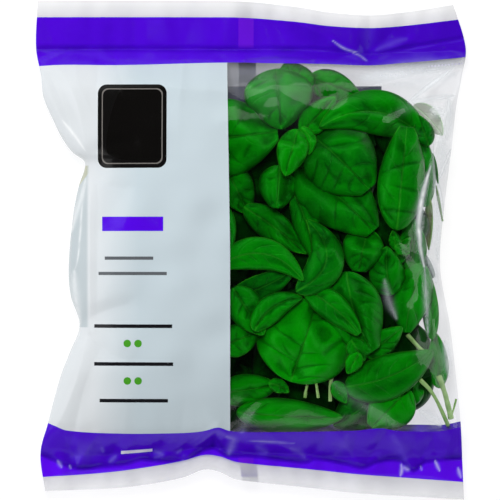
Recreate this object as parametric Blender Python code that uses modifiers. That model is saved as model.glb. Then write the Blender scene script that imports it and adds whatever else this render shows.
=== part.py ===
"""Cut basil sealed in a printed film bag, lying on its back on a flat surface.

Frame: +X to the bag's right, +Y to its top edge, +Z out of its front film. The origin is on the
surface that the bag lies on, below the middle of its length and width. The tables are in millimetres.

The bag is a flow wrap: a tube of film with a fin seal down its back and a flat seal at each end.
The front and back halves of the tube are two thin shells that meet along both sides. Inside are
separate leaves and cut stems. The upper leaves are settled one after another below the front film,
the lower ones on the back film, so that none of them touch.
"""
import math
from collections import namedtuple

import bpy
import numpy as np
from mathutils.bvhtree import BVHTree

MM = 0.001

# ---- the bag ----
HALF_LENGTH = 139.0
TOP_SEAL_LINE = 112.0       # inner edge of the top end seal
BOTTOM_SEAL_LINE = -117.0   # inner edge of the bottom end seal
FILM = 0.5                  # modelled thickness of a film layer
GAP = 0.3                   # clearance between neighbouring pieces
SIDE_HEIGHT = 25.0          # height of the side lines halfway up the bag
END_HEIGHT = 17.0           # height at which the end seals hover
FRONT_RISE = 34.4           # how far the front film stands above the side lines
BACK_FALL = 27.0            # more than SIDE_HEIGHT, so that the back film lies flat where it rests
FIN_LEFT = -0.06            # the fin seal's edges, as shares of the half width
FIN_RIGHT = 0.02
FIN_RECESS = 1.2            # depth of the shallow channel that the folded fin lies in
FIN_DROP = 0.8              # from the back film's outer face down to the middle of the fin

# (distance along the bag, distance across it) of points on the two side lines
LEFT_SIDE = [(-139, -115), (-115, -117.5), (-96, -113), (-70, -106), (-57, -101), (-42, -95.5),
             (-25, -100.5), (-8, -101.5), (20, -99), (36, -95.8), (46, -92.5), (50, -93.3), (54, -99),
             (62, -105), (72, -110), (85, -115.5), (97, -117), (113, -120), (139, -119)]
RIGHT_SIDE = [(-139, 119), (-97, 117), (-67, 114), (-42, 111), (-9, 105.5), (25, 108), (57, 112),
              (80, 114.5), (96, 117.5), (113, 120), (139, 113)]
# (distance across the bag, shift along it) of the end seals, which curl where the film is pulled in
TOP_EDGE = [(-120, 0), (-20, 0), (0, -0.6), (26, -3.5), (44, -6.5), (67, -8), (88, -6), (120, -1)]
BOTTOM_EDGE = [(-120, 4.3), (-79, 5.8), (-60, 7.8), (-38, 12), (-26, 16.5), (-17, 15), (-9, 11.2),
               (0, 9.8), (29, 6.6), (60, 3.2), (120, -0.4)]
TOP_CURL = (102.0, HALF_LENGTH)         # the shifts grow evenly, from none to all, between these
BOTTOM_CURL = (-100.0, -HALF_LENGTH)    # distances along the bag

SIDE_ANGLES = (90, 78, 66, 55, 45, 36, 27, 19)   # columns of the film's grid, towards each side
FIN_COLUMNS = (FIN_LEFT, (FIN_LEFT + FIN_RIGHT) / 2, FIN_RIGHT)
MIDDLE_COLUMNS = (-0.18, FIN_LEFT - 0.01, FIN_COLUMNS[1], FIN_RIGHT + 0.01, 0.1, 0.18)
FILM_ROWS = (-HALF_LENGTH, -128, -117, -112, -104, -92, -78, -63, -47, -30, -12, 8, 28, 46, 62, 77, 89,
             99, 107, 112, 124, HALF_LENGTH)

# ---- the leaves ----
LEAF = 0.5                  # modelled thickness of a leaf
LEAF_ROWS = 8
LEAF_COLUMNS = 4
END_WIDTH = 1.6             # width of a leaf at its base and tip
LEAF_SLOPE = 0.8            # steepest slope at which a leaf may drape over its neighbour
STEM_SLOPE = 3.0            # and at which a stem, which doesn't drape, is kept off it
REACH = 7                   # how far a neighbour's edge is felt, in raster cells of 1 mm
SLOPE_ROOM = 0.25           # extra clearance of a leaf's sides, for where it is steep
DRAPE_ROOM = 0.3            # extra clearance of the limits that a leaf is draped to
LOWER_STEP = 0.4            # step by which a leaf is moved clear of its neighbours
MOST_STEPS = 30
DRAPE = 1.2                 # how gently a leaf bends where a neighbour starts to press on it
STEM_ROOM = 0.5             # extra clearance over a stem

# base and tip as seen from the front; bow is the midrib's sideways bow, to the left of the way from
# base to tip; cup is how far the two sides drop below the midrib, bend how far the base and tip do;
# roll raises the left side above the right one; below is extra distance under what covers it
Leaf = namedtuple("Leaf", "name base tip bow width cup bend roll below")

# points along a cut stem, whose heights count only against each other, and its diameter
Stem = namedtuple("Stem", "name points diameter below")

# in order from the front film down
UPPER_PIECES = [
    Leaf("leaf_tall_right", (81, 11), (87, 73), 0, 26, 7, 6, -2, 1),
    Leaf("leaf_arched_top", (95, 64), (38, 68), -11, 25, 5, 6, -3, 0.5),
    Leaf("leaf_broad_top", (14, 101), (17, 67), 0, 38, 6, 4, 0, 1),
    Leaf("leaf_cupped_small", (26, 67), (19, 41), 0, 17, 4, 3, 0, 0),
    Leaf("leaf_flap_small", (28, 68), (32, 53), 3, 7, 2, 1, 0, 1),
    Leaf("leaf_cupped_upper", (28, 65), (47, 85), 0, 16, 4, 2, 0, 2),
    Leaf("leaf_diamond", (34, 64), (67, 32), 1, 42, 5, 5, 0, 0.5),
    Leaf("leaf_panel_edge", (-34, 60), (17, 66), 0, 43, 4, 4, 0, 0.5),
    Leaf("leaf_heart_centre", (25, 48), (70, 8), 2, 37, 6, 6, 0, 0),
    Leaf("leaf_cup_left", (16, 47), (14, 22), 0, 22, 5, 3, 0, 1),
    Leaf("leaf_crescent", (-18, -9), (29, -17), 11, 18, 4, 4, 0, 0),
    Leaf("leaf_hooked", (25, -23), (31, 17), -14, 20, 4, 4, -2, 0),
    Leaf("leaf_wing_centre", (29, -21), (61, -48), 2.5, 16, 4, 4, 0, 0),
    Leaf("leaf_wing_right", (53, -12), (69, -59), -3, 32, 5, 5, 2, 0.5),
    Leaf("leaf_folded_corner", (2, -45), (28.5, -26.5), 5, 15, 5, 3, 0, 0.5),
    Leaf("leaf_folded_left", (-10, -21), (7, -47), 0, 20, 5, 3, 0, 1),
    Leaf("leaf_round_large", (22, -73), (38, -26), 0, 52, 6, 5, 0, 0),
    Leaf("leaf_rolled_upper", (24, 31), (35, -6), 2, 15, 5, 3, 0, 1),
    Leaf("leaf_rolled_left", (-4, 24), (31, -2), 1, 17, 5, 3, 0, 2),
    Leaf("leaf_cup_centre", (66, 12), (60, -14), -1, 23, 6, 4, 0, 0),
    Leaf("leaf_curled_right", (79, -25), (76, 2), 2, 20, 5, 3, 0, 0),
    Leaf("leaf_lens", (52, -76), (101, -56), -4, 25, 5, 5, 0, 0),
    Leaf("leaf_behind_lens", (64, -59), (84, -43), 0, 14, 3, 3, 2, 0.5),
    Leaf("leaf_young_right", (96, -8), (86, -48), -2, 22, 4, 4, 0, 2),
    Leaf("leaf_bud_upper", (81, 0), (79, 11), 0, 7, 2, 1, 0, 4),
    Leaf("leaf_bud_lower", (82, -8), (89, 7), 1, 8, 2, 1, 0, 2),
    Leaf("leaf_pale_right", (90, -12), (90, 18), 0, 16, 3, 3, 0, 3),
    Leaf("leaf_rolled_corner", (99, 58), (93, 75), 0, 11, 3, 2, 0, 2),
    Leaf("leaf_edge_right", (97, 24), (94, 68), 0, 14, 3, 4, 2, 3),
    Leaf("leaf_bottom_long", (-8, -90), (51, -93), -1, 20, 4, 5, 0, 0.5),
    Leaf("leaf_bottom_right", (88, -77), (66, -100), 0, 26, 3, 4, 0, 1),
    Leaf("leaf_bottom_left", (-18, -80), (15, -75), 0, 18, 4, 3, 0, 2),
    Leaf("leaf_panel_lower", (-18, -54), (5, -45), 0, 18, 3, 3, 0, 2),
    Leaf("leaf_back_top", (27, 84), (20, 105), 0, 24, 3, 3, 0, 2),
    Leaf("leaf_back_upper", (32, 96), (61, 86), 0, 17, 3, 3, 0, 1),
    Leaf("leaf_dark_left", (-14, 46), (-1, 20), 0, 20, 3, 3, 0, 3),
    Leaf("leaf_underside", (-13, -27), (25, -10), -2, 15, -3, 3, 0, 3),
    Leaf("leaf_dark_bottom", (74, -80), (46, -98), 0, 24, 4, 4, 0, 2),
    Leaf("leaf_rim_right", (101, -50), (99, -12), 0, 9, 2, 3, 0, 2),
    Stem("stem_corner_thick", [(104.5, -70, 8), (107, -77, 6), (109.5, -85, 3), (111.5, -94, 0)], 2.8, 0),
    Stem("stem_corner_thin", [(94, -72, 13), (100.5, -79, 10), (106, -89, 4), (110, -98, 0)], 2.0, 0),
    Stem("stem_behind_lens", [(87, -47, 2), (91, -51.5, 1), (96, -57, 0)], 2.2, 0.5),
    Leaf("leaf_low_right", (105, -77), (103, -46), 0, 12, 2, 3, 0, 2),
    Leaf("leaf_small_bottom", (92, -73), (88, -88), 0, 12, 2, 2, 0, 3),
    Stem("stem_below_round_1", [(32, -71, 0), (31, -76, 1), (30, -82, 0)], 1.6, 3),
    Stem("stem_below_round_2", [(36, -71, 0), (36.5, -76, 1), (37.5, -82, 0)], 1.5, 2),
    Stem("stem_below_round_3", [(45, -70, 0), (44, -76, 1), (44, -84, 0)], 1.9, 4),
]
# in order from the back film up
LOWER_LEAVES = [
    Leaf("leaf_floor_top", (6, 84), (62, 58), 2, 42, 4, 3, 0, 0),
    Leaf("leaf_floor_right", (86, 70), (66, 14), 2, 40, 5, 4, 0, 0),
    Leaf("leaf_floor_centre", (4, 50), (64, 22), -2, 48, 5, 4, 0, 0),
    Leaf("leaf_floor_middle", (90, 2), (36, -32), 2, 46, 5, 4, 0, 0),
    Leaf("leaf_floor_left", (-6, 16), (18, -46), 2, 44, 5, 4, 0, 0),
    Leaf("leaf_floor_lower", (22, -60), (86, -62), 2, 46, 5, 4, 0, 0),
    Leaf("leaf_floor_bottom", (-10, -62), (46, -94), 2, 40, 4, 4, 0, 0),
    Leaf("leaf_panel_top", (-36, 94), (-80, 54), 2, 48, 6, 4, 0, 0),
    Leaf("leaf_panel_middle", (-30, 28), (-76, -12), 2, 48, 6, 4, 0, 0),
    Leaf("leaf_panel_bottom", (-32, -36), (-80, -80), 2, 48, 6, 4, 0, 0),
]

LEAF_GREEN = (0.004, 0.155, 0.006, 1)
STEM_GREEN = (0.27, 0.53, 0.12, 1)
PANEL_GREY = (0.60, 0.66, 0.71, 1)
CLEAR = (0.9, 0.9, 0.92, 1)


def material(name, colour, roughness, alpha=1.0):
    made = bpy.data.materials.new(name)
    made.use_nodes = True
    shader = made.node_tree.nodes["Principled BSDF"]
    shader.inputs["Base Color"].default_value = colour
    shader.inputs["Roughness"].default_value = roughness
    shader.inputs["Metallic"].default_value = 0.0
    shader.inputs["Alpha"].default_value = alpha
    made.diffuse_color = colour[:3] + (alpha,)
    return made


def through(stations, at):
    """A smooth curve through (position, value) stations, by cubic pieces."""
    places = [place for place, value in stations]
    values = [value for place, value in stations]
    last = len(places) - 1
    k = min(max(int(np.searchsorted(places, at)) - 1, 0), last - 1)

    def slope(i):
        before, after = max(i - 1, 0), min(i + 1, last)
        return (values[after] - values[before]) / (places[after] - places[before])

    span = places[k + 1] - places[k]
    t = min(max((at - places[k]) / span, 0.0), 1.0)
    return ((2 * t**3 - 3 * t**2 + 1) * values[k] + (t**3 - 2 * t**2 + t) * span * slope(k)
            + (3 * t**2 - 2 * t**3) * values[k + 1] + (t**3 - t**2) * span * slope(k + 1))


def share(value, span):
    """How far a value is from the start of a span to its end, from 0 to 1."""
    start, end = span
    return min(max((value - start) / (end - start), 0.0), 1.0)


def smooth_step(t):
    t = min(max(t, 0.0), 1.0)
    return t * t * (3 - 2 * t)


def fullness(along):
    """How far the bag is filled out at a distance along it: 0 in the end seals, 1 halfway."""
    middle = (TOP_SEAL_LINE + BOTTOM_SEAL_LINE) / 2
    t = abs(along - middle) / ((TOP_SEAL_LINE - BOTTOM_SEAL_LINE) / 2)
    return (1 - t**2.8) ** 0.9 if t < 1 else 0.0


def section(across, full):
    """Height of the film over its side lines as a share of its greatest: flatter near the ends,
    and rounder where the bag is full."""
    return (1 - abs(across) ** 2.8) ** (0.8 - 0.25 * math.sqrt(full)) if abs(across) < 1 else 0.0


def film_columns():
    sides = [math.sin(math.radians(angle)) for angle in SIDE_ANGLES]
    return [-side for side in sides] + list(MIDDLE_COLUMNS) + sides[::-1]


def plan_point(across, along):
    """Where a point of the film lies as seen from the front."""
    left, right = through(LEFT_SIDE, along), through(RIGHT_SIDE, along)
    x = (left + right) / 2 + across * (right - left) / 2
    top, bottom = share(along, TOP_CURL), share(along, BOTTOM_CURL)
    return x, along + top * through(TOP_EDGE, x) + bottom * through(BOTTOM_EDGE, x)


def rim_height(along, rise):
    """Height of a film's outer face above the side line at the rim, which leaves half the gap
    below its inner face whatever its slope is there."""
    inner = math.sin(math.radians(SIDE_ANGLES[1]))
    width = through(RIGHT_SIDE, along) - through(LEFT_SIDE, along)
    full = fullness(along)
    slope = math.atan2(rise * full * section(inner, full), (1 - inner) * width / 2)
    return GAP / 2 + FILM * math.cos(slope)


def side_line(along):
    return END_HEIGHT + (SIDE_HEIGHT - END_HEIGHT) * smooth_step(2 * fullness(along))


def front_height(across, along):
    full = fullness(along)
    return side_line(along) + rim_height(along, FRONT_RISE) + FRONT_RISE * full * section(across, full)


def back_height(across, along):
    full = fullness(along)
    fall = rim_height(along, BACK_FALL) + BACK_FALL * full * section(across, full)
    over_fin = FIN_LEFT - 0.02 < across < FIN_RIGHT + 0.02
    recess = FIN_RECESS * min(1.0, 5 * full) if over_fin else 0.0
    return max(0.0, side_line(along) - fall) + recess


def grid_object(name, points, rows, columns, finish, collection, faces_up=True):
    """An open sheet from a grid of points in millimetres, rows of columns."""
    faces = []
    for r in range(rows - 1):
        for c in range(columns - 1):
            corner = r * columns + c
            face = (corner, corner + 1, corner + 1 + columns, corner + columns)
            faces.append(face if faces_up else face[::-1])
    mesh = bpy.data.meshes.new(name)
    mesh.from_pydata([(x * MM, y * MM, z * MM) for x, y, z in points], [], faces)
    mesh.materials.append(finish)
    mesh.shade_smooth()
    made = bpy.data.objects.new(name, mesh)
    collection.objects.link(made)
    return made


def thicken(sheet, thickness, offset):
    """Solidify a sheet: offset -1 adds the thickness behind its faces, 0 adds it on both sides."""
    solid = sheet.modifiers.new("Solidify", "SOLIDIFY")
    solid.thickness = thickness * MM
    solid.offset = offset
    solid.use_even_offset = True


def make_film(name, height, faces_up, finish, collection):
    columns = film_columns()
    points = [plan_point(u, v) + (height(u, v),) for v in FILM_ROWS for u in columns]
    sheet = grid_object(name, points, len(FILM_ROWS), len(columns), finish, collection, faces_up)
    thicken(sheet, FILM, -1)
    return sheet


def make_fin(finish, collection):
    """The fin seal: a strip folded flat against the back film, in its channel."""
    points = [plan_point(u, v) + (back_height(u, v) - FIN_DROP,) for v in FILM_ROWS for u in FIN_COLUMNS]
    rows, columns = len(FILM_ROWS), len(FIN_COLUMNS)
    strip = grid_object("back_fin_seal", points, rows, columns, finish, collection)
    thicken(strip, FILM, 0)


def tree_of(piece):
    """The piece's solid as it is evaluated, for tests."""
    return BVHTree.FromObject(piece, bpy.context.evaluated_depsgraph_get())


class Pile:
    """The room left inside the bag. It holds, on a 1 mm raster, the underside of what lies above
    (ceiling) and the top of what lies below (floor), and the solids placed so far."""

    LEFT, BOTTOM, COLUMNS, ROWS = -125, -140, 251, 281
    FAR = 1000.0

    def __init__(self, front, back):
        self.solids = [tree_of(front), tree_of(back)]
        self.ceiling = self.look(self.solids[0], (0, self.COLUMNS), (0, self.ROWS), SIDE_HEIGHT, 1)
        self.floor = self.look(self.solids[1], (0, self.COLUMNS), (0, self.ROWS), SIDE_HEIGHT, -1)

    def look(self, tree, columns, rows, start, way):
        """Height at which a line of sight from the start height, up or down, meets the solid."""
        found = np.full((rows[1] - rows[0], columns[1] - columns[0]), way * self.FAR)
        for r in range(*rows):
            for c in range(*columns):
                origin = ((self.LEFT + c) * MM, (self.BOTTOM + r) * MM, start * MM)
                hit = tree.ray_cast(origin, (0, 0, way))[0]
                if hit is not None:
                    found[r - rows[0], c - columns[0]] = hit.z / MM
        return found

    def eased(self, heights, way, slope):
        """The raster with its steps eased to a slope, always on the free side."""
        padded = np.pad(way * heights, REACH, mode="edge")
        eased = way * heights
        for dy in range(-REACH, REACH + 1):
            for dx in range(-REACH, REACH + 1):
                rows = slice(REACH + dy, REACH + dy + self.ROWS)
                columns = slice(REACH + dx, REACH + dx + self.COLUMNS)
                eased = np.minimum(eased, padded[rows, columns] + slope * math.hypot(dx, dy))
        return way * eased

    def limit(self, xs, ys, way, slope):
        """The highest (way 1) or lowest (way -1) free height at each point."""
        raster = self.eased(self.ceiling if way > 0 else self.floor, way, slope)
        c = np.clip(np.round(xs - self.LEFT).astype(int), 0, self.COLUMNS - 1)
        r = np.clip(np.round(ys - self.BOTTOM).astype(int), 0, self.ROWS - 1)
        return raster[r, c]

    def add(self, piece, way):
        """Take in a placed piece, and lower the ceiling or raise the floor to it."""
        tree = tree_of(piece)
        self.solids.append(tree)
        corners = np.array([v.co for v in self.mesh_of(piece).vertices]) / MM
        low, high = corners.min(axis=0), corners.max(axis=0)
        columns = (int(low[0]) - self.LEFT - 2, int(high[0]) - self.LEFT + 3)
        rows = (int(low[1]) - self.BOTTOM - 2, int(high[1]) - self.BOTTOM + 3)
        start = low[2] - 5 if way > 0 else high[2] + 5
        seen = self.look(tree, columns, rows, start, way)
        raster = self.ceiling if way > 0 else self.floor
        window = raster[rows[0]:rows[1], columns[0]:columns[1]]
        window[:] = np.minimum(window, seen) if way > 0 else np.maximum(window, seen)

    @staticmethod
    def mesh_of(piece):
        return piece.evaluated_get(bpy.context.evaluated_depsgraph_get()).to_mesh()

    def is_clear(self, points, rows, columns):
        """True if a sheet of these points, thickened with the gap, touches nothing so far."""
        reach = LEAF / 2 + GAP + SLOPE_ROOM
        count = len(points)
        corners = [(x * MM, y * MM, (z + side * reach) * MM) for side in (1, -1) for x, y, z in points]
        quads = []
        for r in range(rows - 1):
            for c in range(columns - 1):
                corner = r * columns + c
                quad = (corner, corner + 1, corner + 1 + columns, corner + columns)
                quads.append(quad)
                quads.append(tuple(i + count for i in quad))
        rim = (list(range(columns)) + [r * columns + columns - 1 for r in range(1, rows)]
               + [(rows - 1) * columns + c for c in range(columns - 2, -1, -1)]
               + [r * columns for r in range(rows - 2, 0, -1)])
        quads += [(a, b, b + count, a + count) for a, b in zip(rim, rim[1:] + rim[:1])]
        fat = BVHTree.FromPolygons(corners, quads)
        return not any(fat.overlap(solid) for solid in self.solids)


def leaf_plan(leaf):
    """The leaf's grid as seen from the front, with each point's place along and across it."""
    base, tip = np.array(leaf.base, float), np.array(leaf.tip, float)
    run = tip - base
    left = np.array((-run[1], run[0])) / np.hypot(*run)
    control = (base + tip) / 2 + 2 * leaf.bow * left
    grid = []
    for r in range(LEAF_ROWS + 1):
        s = r / LEAF_ROWS
        spine = (1 - s) ** 2 * base + 2 * s * (1 - s) * control + s**2 * tip
        along = 2 * (1 - s) * (control - base) + 2 * s * (tip - control)
        normal = np.array((-along[1], along[0])) / np.hypot(*along)
        half = max(leaf.width / 2 * math.sin(math.pi * s**0.78) ** 0.7, END_WIDTH / 2)
        for c in range(LEAF_COLUMNS + 1):
            v = 2 * c / LEAF_COLUMNS - 1
            grid.append((*(spine + normal * v * half), s, -v))
    return np.array(grid)


def leaf_relief(leaf, plan):
    """The leaf's own shape: sides and ends that drop, and a sideways roll."""
    s, v = plan[:, 2], plan[:, 3]
    broad = np.sin(np.pi * np.clip(s, 0.05, 0.95)) ** 0.7
    return (-leaf.cup * v**2 * broad - leaf.bend * (2 * s - 1) ** 2 - leaf.roll * v * broad / 2)


def settle(pile, leaf, way):
    """Heights of the leaf's points: its own shape, pressed down (way 1) or up (way -1) where its
    neighbours need the room, and then moved clear of them."""
    plan = leaf_plan(leaf)
    relief = leaf_relief(leaf, plan)
    room = LEAF / 2 + GAP + DRAPE_ROOM
    top = pile.limit(plan[:, 0], plan[:, 1], 1, LEAF_SLOPE) - room
    bottom = pile.limit(plan[:, 0], plan[:, 1], -1, LEAF_SLOPE) + room
    limit = top if way > 0 else bottom
    lift = np.percentile(limit - relief, 40 if way > 0 else 60)
    excess = way * (relief + lift - limit)
    heights = limit + way * (excess - DRAPE * np.logaddexp(0, excess / DRAPE) - leaf.below)
    points = np.column_stack((plan[:, :2], np.clip(heights, bottom, top)))
    for step in range(MOST_STEPS):
        if pile.is_clear(points, LEAF_ROWS + 1, LEAF_COLUMNS + 1):
            return points
        points[:, 2] -= way * LOWER_STEP
    raise ValueError(leaf.name + " has no room")


def make_leaf(pile, leaf, way, finish, collection):
    points = settle(pile, leaf, way)
    sheet = grid_object(leaf.name, points, LEAF_ROWS + 1, LEAF_COLUMNS + 1, finish, collection)
    thicken(sheet, LEAF, 0)
    pile.add(sheet, way)


def make_stem(pile, stem, finish, collection):
    """A cut stem: a tube that is moved as a whole until it is below what covers it."""
    points = np.array(stem.points, float)
    limit = pile.limit(points[:, 0], points[:, 1], 1, STEM_SLOPE)
    lift = np.min(limit - points[:, 2]) - stem.diameter / 2 - GAP - STEM_ROOM - stem.below
    curve = bpy.data.curves.new(stem.name, "CURVE")
    curve.dimensions = "3D"
    curve.bevel_depth = stem.diameter / 2 * MM
    curve.bevel_resolution = 1
    curve.use_fill_caps = True
    curve.materials.append(finish)
    spline = curve.splines.new("POLY")
    spline.points.add(len(points) - 1)
    for point, (x, y, z) in zip(spline.points, points):
        point.co = (x * MM, y * MM, (z + lift) * MM, 1)
    made = bpy.data.objects.new(stem.name, curve)
    collection.objects.link(made)
    pile.add(made, 1)


def main():
    for thing in list(bpy.data.objects):
        bpy.data.objects.remove(thing, do_unlink=True)
    bag = bpy.data.collections.new("bagged_basil")
    bpy.context.scene.collection.children.link(bag)
    clear = material("clear_film", CLEAR, 0.1, 0.35)
    printed = material("printed_film", PANEL_GREY, 0.3, 0.6)
    leaf_green = material("leaf", LEAF_GREEN, 0.45)
    stem_green = material("stem", STEM_GREEN, 0.5)

    front = make_film("front_film", front_height, True, clear, bag)
    back = make_film("back_film", back_height, False, printed, bag)
    make_fin(printed, bag)
    pile = Pile(front, back)
    for piece in UPPER_PIECES:
        if isinstance(piece, Leaf):
            make_leaf(pile, piece, 1, leaf_green, bag)
        else:
            make_stem(pile, piece, stem_green, bag)
    for leaf in LOWER_LEAVES:
        make_leaf(pile, leaf, -1, leaf_green, bag)


main()
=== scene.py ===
"""Looks of a film bag of cut basil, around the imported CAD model.

Frame: +X to the bag's right, +Y to its top edge, +Z out of its front film, with the floor at 0.
The tables and shape functions are in millimetres, and everything that reaches Blender is in metres.
The bag's shape functions and the leaf tables are those of the CAD source, drawn on finer grids.
"""

import math
from collections import namedtuple

import bpy
import numpy as np
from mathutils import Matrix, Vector
from mathutils.bvhtree import BVHTree


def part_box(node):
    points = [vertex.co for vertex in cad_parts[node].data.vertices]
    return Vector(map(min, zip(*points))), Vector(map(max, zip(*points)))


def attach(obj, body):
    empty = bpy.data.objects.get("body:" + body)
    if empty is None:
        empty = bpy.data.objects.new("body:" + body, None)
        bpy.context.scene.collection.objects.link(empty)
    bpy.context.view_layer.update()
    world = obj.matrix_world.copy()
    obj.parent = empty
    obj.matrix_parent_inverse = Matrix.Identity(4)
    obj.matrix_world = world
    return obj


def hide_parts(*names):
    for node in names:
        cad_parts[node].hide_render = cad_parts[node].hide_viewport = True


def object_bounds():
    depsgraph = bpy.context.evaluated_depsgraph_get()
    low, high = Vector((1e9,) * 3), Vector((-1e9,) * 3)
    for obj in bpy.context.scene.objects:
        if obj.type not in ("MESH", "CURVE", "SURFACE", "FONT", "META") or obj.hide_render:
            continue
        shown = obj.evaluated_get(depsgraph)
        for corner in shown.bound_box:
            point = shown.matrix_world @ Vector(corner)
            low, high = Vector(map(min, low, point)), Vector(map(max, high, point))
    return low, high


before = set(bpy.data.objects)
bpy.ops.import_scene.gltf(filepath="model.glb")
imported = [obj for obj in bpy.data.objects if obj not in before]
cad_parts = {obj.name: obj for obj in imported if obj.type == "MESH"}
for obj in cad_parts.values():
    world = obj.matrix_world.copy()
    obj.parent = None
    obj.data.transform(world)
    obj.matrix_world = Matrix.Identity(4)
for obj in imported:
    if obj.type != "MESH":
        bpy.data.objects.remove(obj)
cad_low, cad_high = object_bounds()

MM = 0.001
HALF_LENGTH = cad_high.y / MM

# ---- the bag, as in the CAD source ----
TOP_SEAL_LINE = 112.0       # inner edge of the top end seal
BOTTOM_SEAL_LINE = -117.0   # inner edge of the bottom end seal
SIDE_HEIGHT = 25.0          # height of the side lines halfway up the bag
END_HEIGHT = 17.0           # height at which the end seals hover
FRONT_RISE = 34.4           # how far the front film stands above the side lines
BACK_FALL = 27.0            # more than SIDE_HEIGHT, so that the back film lies flat where it rests
FIN_LEFT = -0.06            # the fin seal's edges, as shares of the half width
FIN_RIGHT = 0.02
FIN_RECESS = 1.2            # depth of the shallow channel that the folded fin lies in
TOP_CURL = (102.0, HALF_LENGTH)        # the edges' shifts grow from none to all between these
BOTTOM_CURL = (-100.0, -HALF_LENGTH)   # distances along the bag

# (distance along the bag, distance across it) of points on the two side lines
LEFT_SIDE = [(-139, -115), (-115, -117.5), (-96, -113), (-70, -106), (-57, -101), (-42, -95.5),
             (-25, -100.5), (-8, -101.5), (20, -99), (36, -95.8), (46, -92.5), (50, -93.3), (54, -99),
             (62, -105), (72, -110), (85, -115.5), (97, -117), (113, -120), (139, -119)]
RIGHT_SIDE = [(-139, 119), (-97, 117), (-67, 114), (-42, 111), (-9, 105.5), (25, 108), (57, 112),
              (80, 114.5), (96, 117.5), (113, 120), (139, 113)]
# (distance across the bag, shift along it) of the end seals, which curl where the film is pulled in
TOP_EDGE = [(-120, 0), (-20, 0), (0, -0.6), (26, -3.5), (44, -6.5), (67, -8), (88, -6), (120, -1)]
BOTTOM_EDGE = [(-120, 4.3), (-79, 5.8), (-60, 7.8), (-38, 12), (-26, 16.5), (-17, 15), (-9, 11.2),
               (0, 9.8), (29, 6.6), (60, 3.2), (120, -0.4)]
# (distance across the bag, distance along it) of the seals' inner edges as they show from the front
TOP_CRIMP = [(-120, 112.8), (-60, 112.6), (0, 112.3), (17, 112.5), (45, 111.5), (65, 108.6), (77, 111),
             (100, 115), (120, 118.5)]
BOTTOM_CRIMP = [(-120, -113.5), (-97, -122.5), (-84, -121.4), (-69, -119.8), (-61, -117.5),
                (-53, -118.2), (-36, -117.5), (-21.6, -110.8), (-13.8, -115), (0, -115.5), (31, -119),
                (36, -117.1), (53, -119.9), (63, -121.9), (71, -118.8), (83, -118), (91, -123.8),
                (98, -118.8), (120, -116.7)]
# (distance across the bag, shift along it) of the print near the seals, where the film is drawn in:
# the top band's lower edge, the bottom band's upper one and its lower one
TOP_SAG = [(-120, -2), (-105, -1.3), (-72, -1.5), (-13, -0.1), (15, -0.4), (40, -0.5), (65, -1.4),
           (86, 0.3), (120, 3.4)]
BOTTOM_RISE = [(-120, 7), (-110, 3), (-102, 0), (-74, -1.9), (-49, -2.3), (-30, -1.5), (-18.3, 2),
               (-11, -0.4), (0, -1.1), (57, 0.1), (72, 1.5), (81, 0.1), (104, -0.4), (118, 2.2)]
BOTTOM_SAG = [(-116, -3.7), (-90, -2.5), (-58, -0.4), (-22, 1.6), (0, 0.6), (57, -0.9), (118, -2.8)]
# spans along the bag over which these shifts set in and fade out
TOP_SAG_STARTS = (92, 101)
TOP_SAG_ENDS = (130, 108)
BOTTOM_RISE_STARTS = (-88, -96)
BOTTOM_BAND_SPAN = (-101, -125)

STREAK_STEPS = 60           # places along a streak at which its cover is drawn
FILM_ROWS = 320             # grid rows along both films
FRONT_COLUMNS = 300         # grid columns over the front film, side line to side line
BACK_COLUMNS = 110          # and over the back one
FILM_OFFSET = 0.15          # half the distance between the two films where they are sealed together
FULL_OFFSET = 0.45          # added to it where the bag is full

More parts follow.
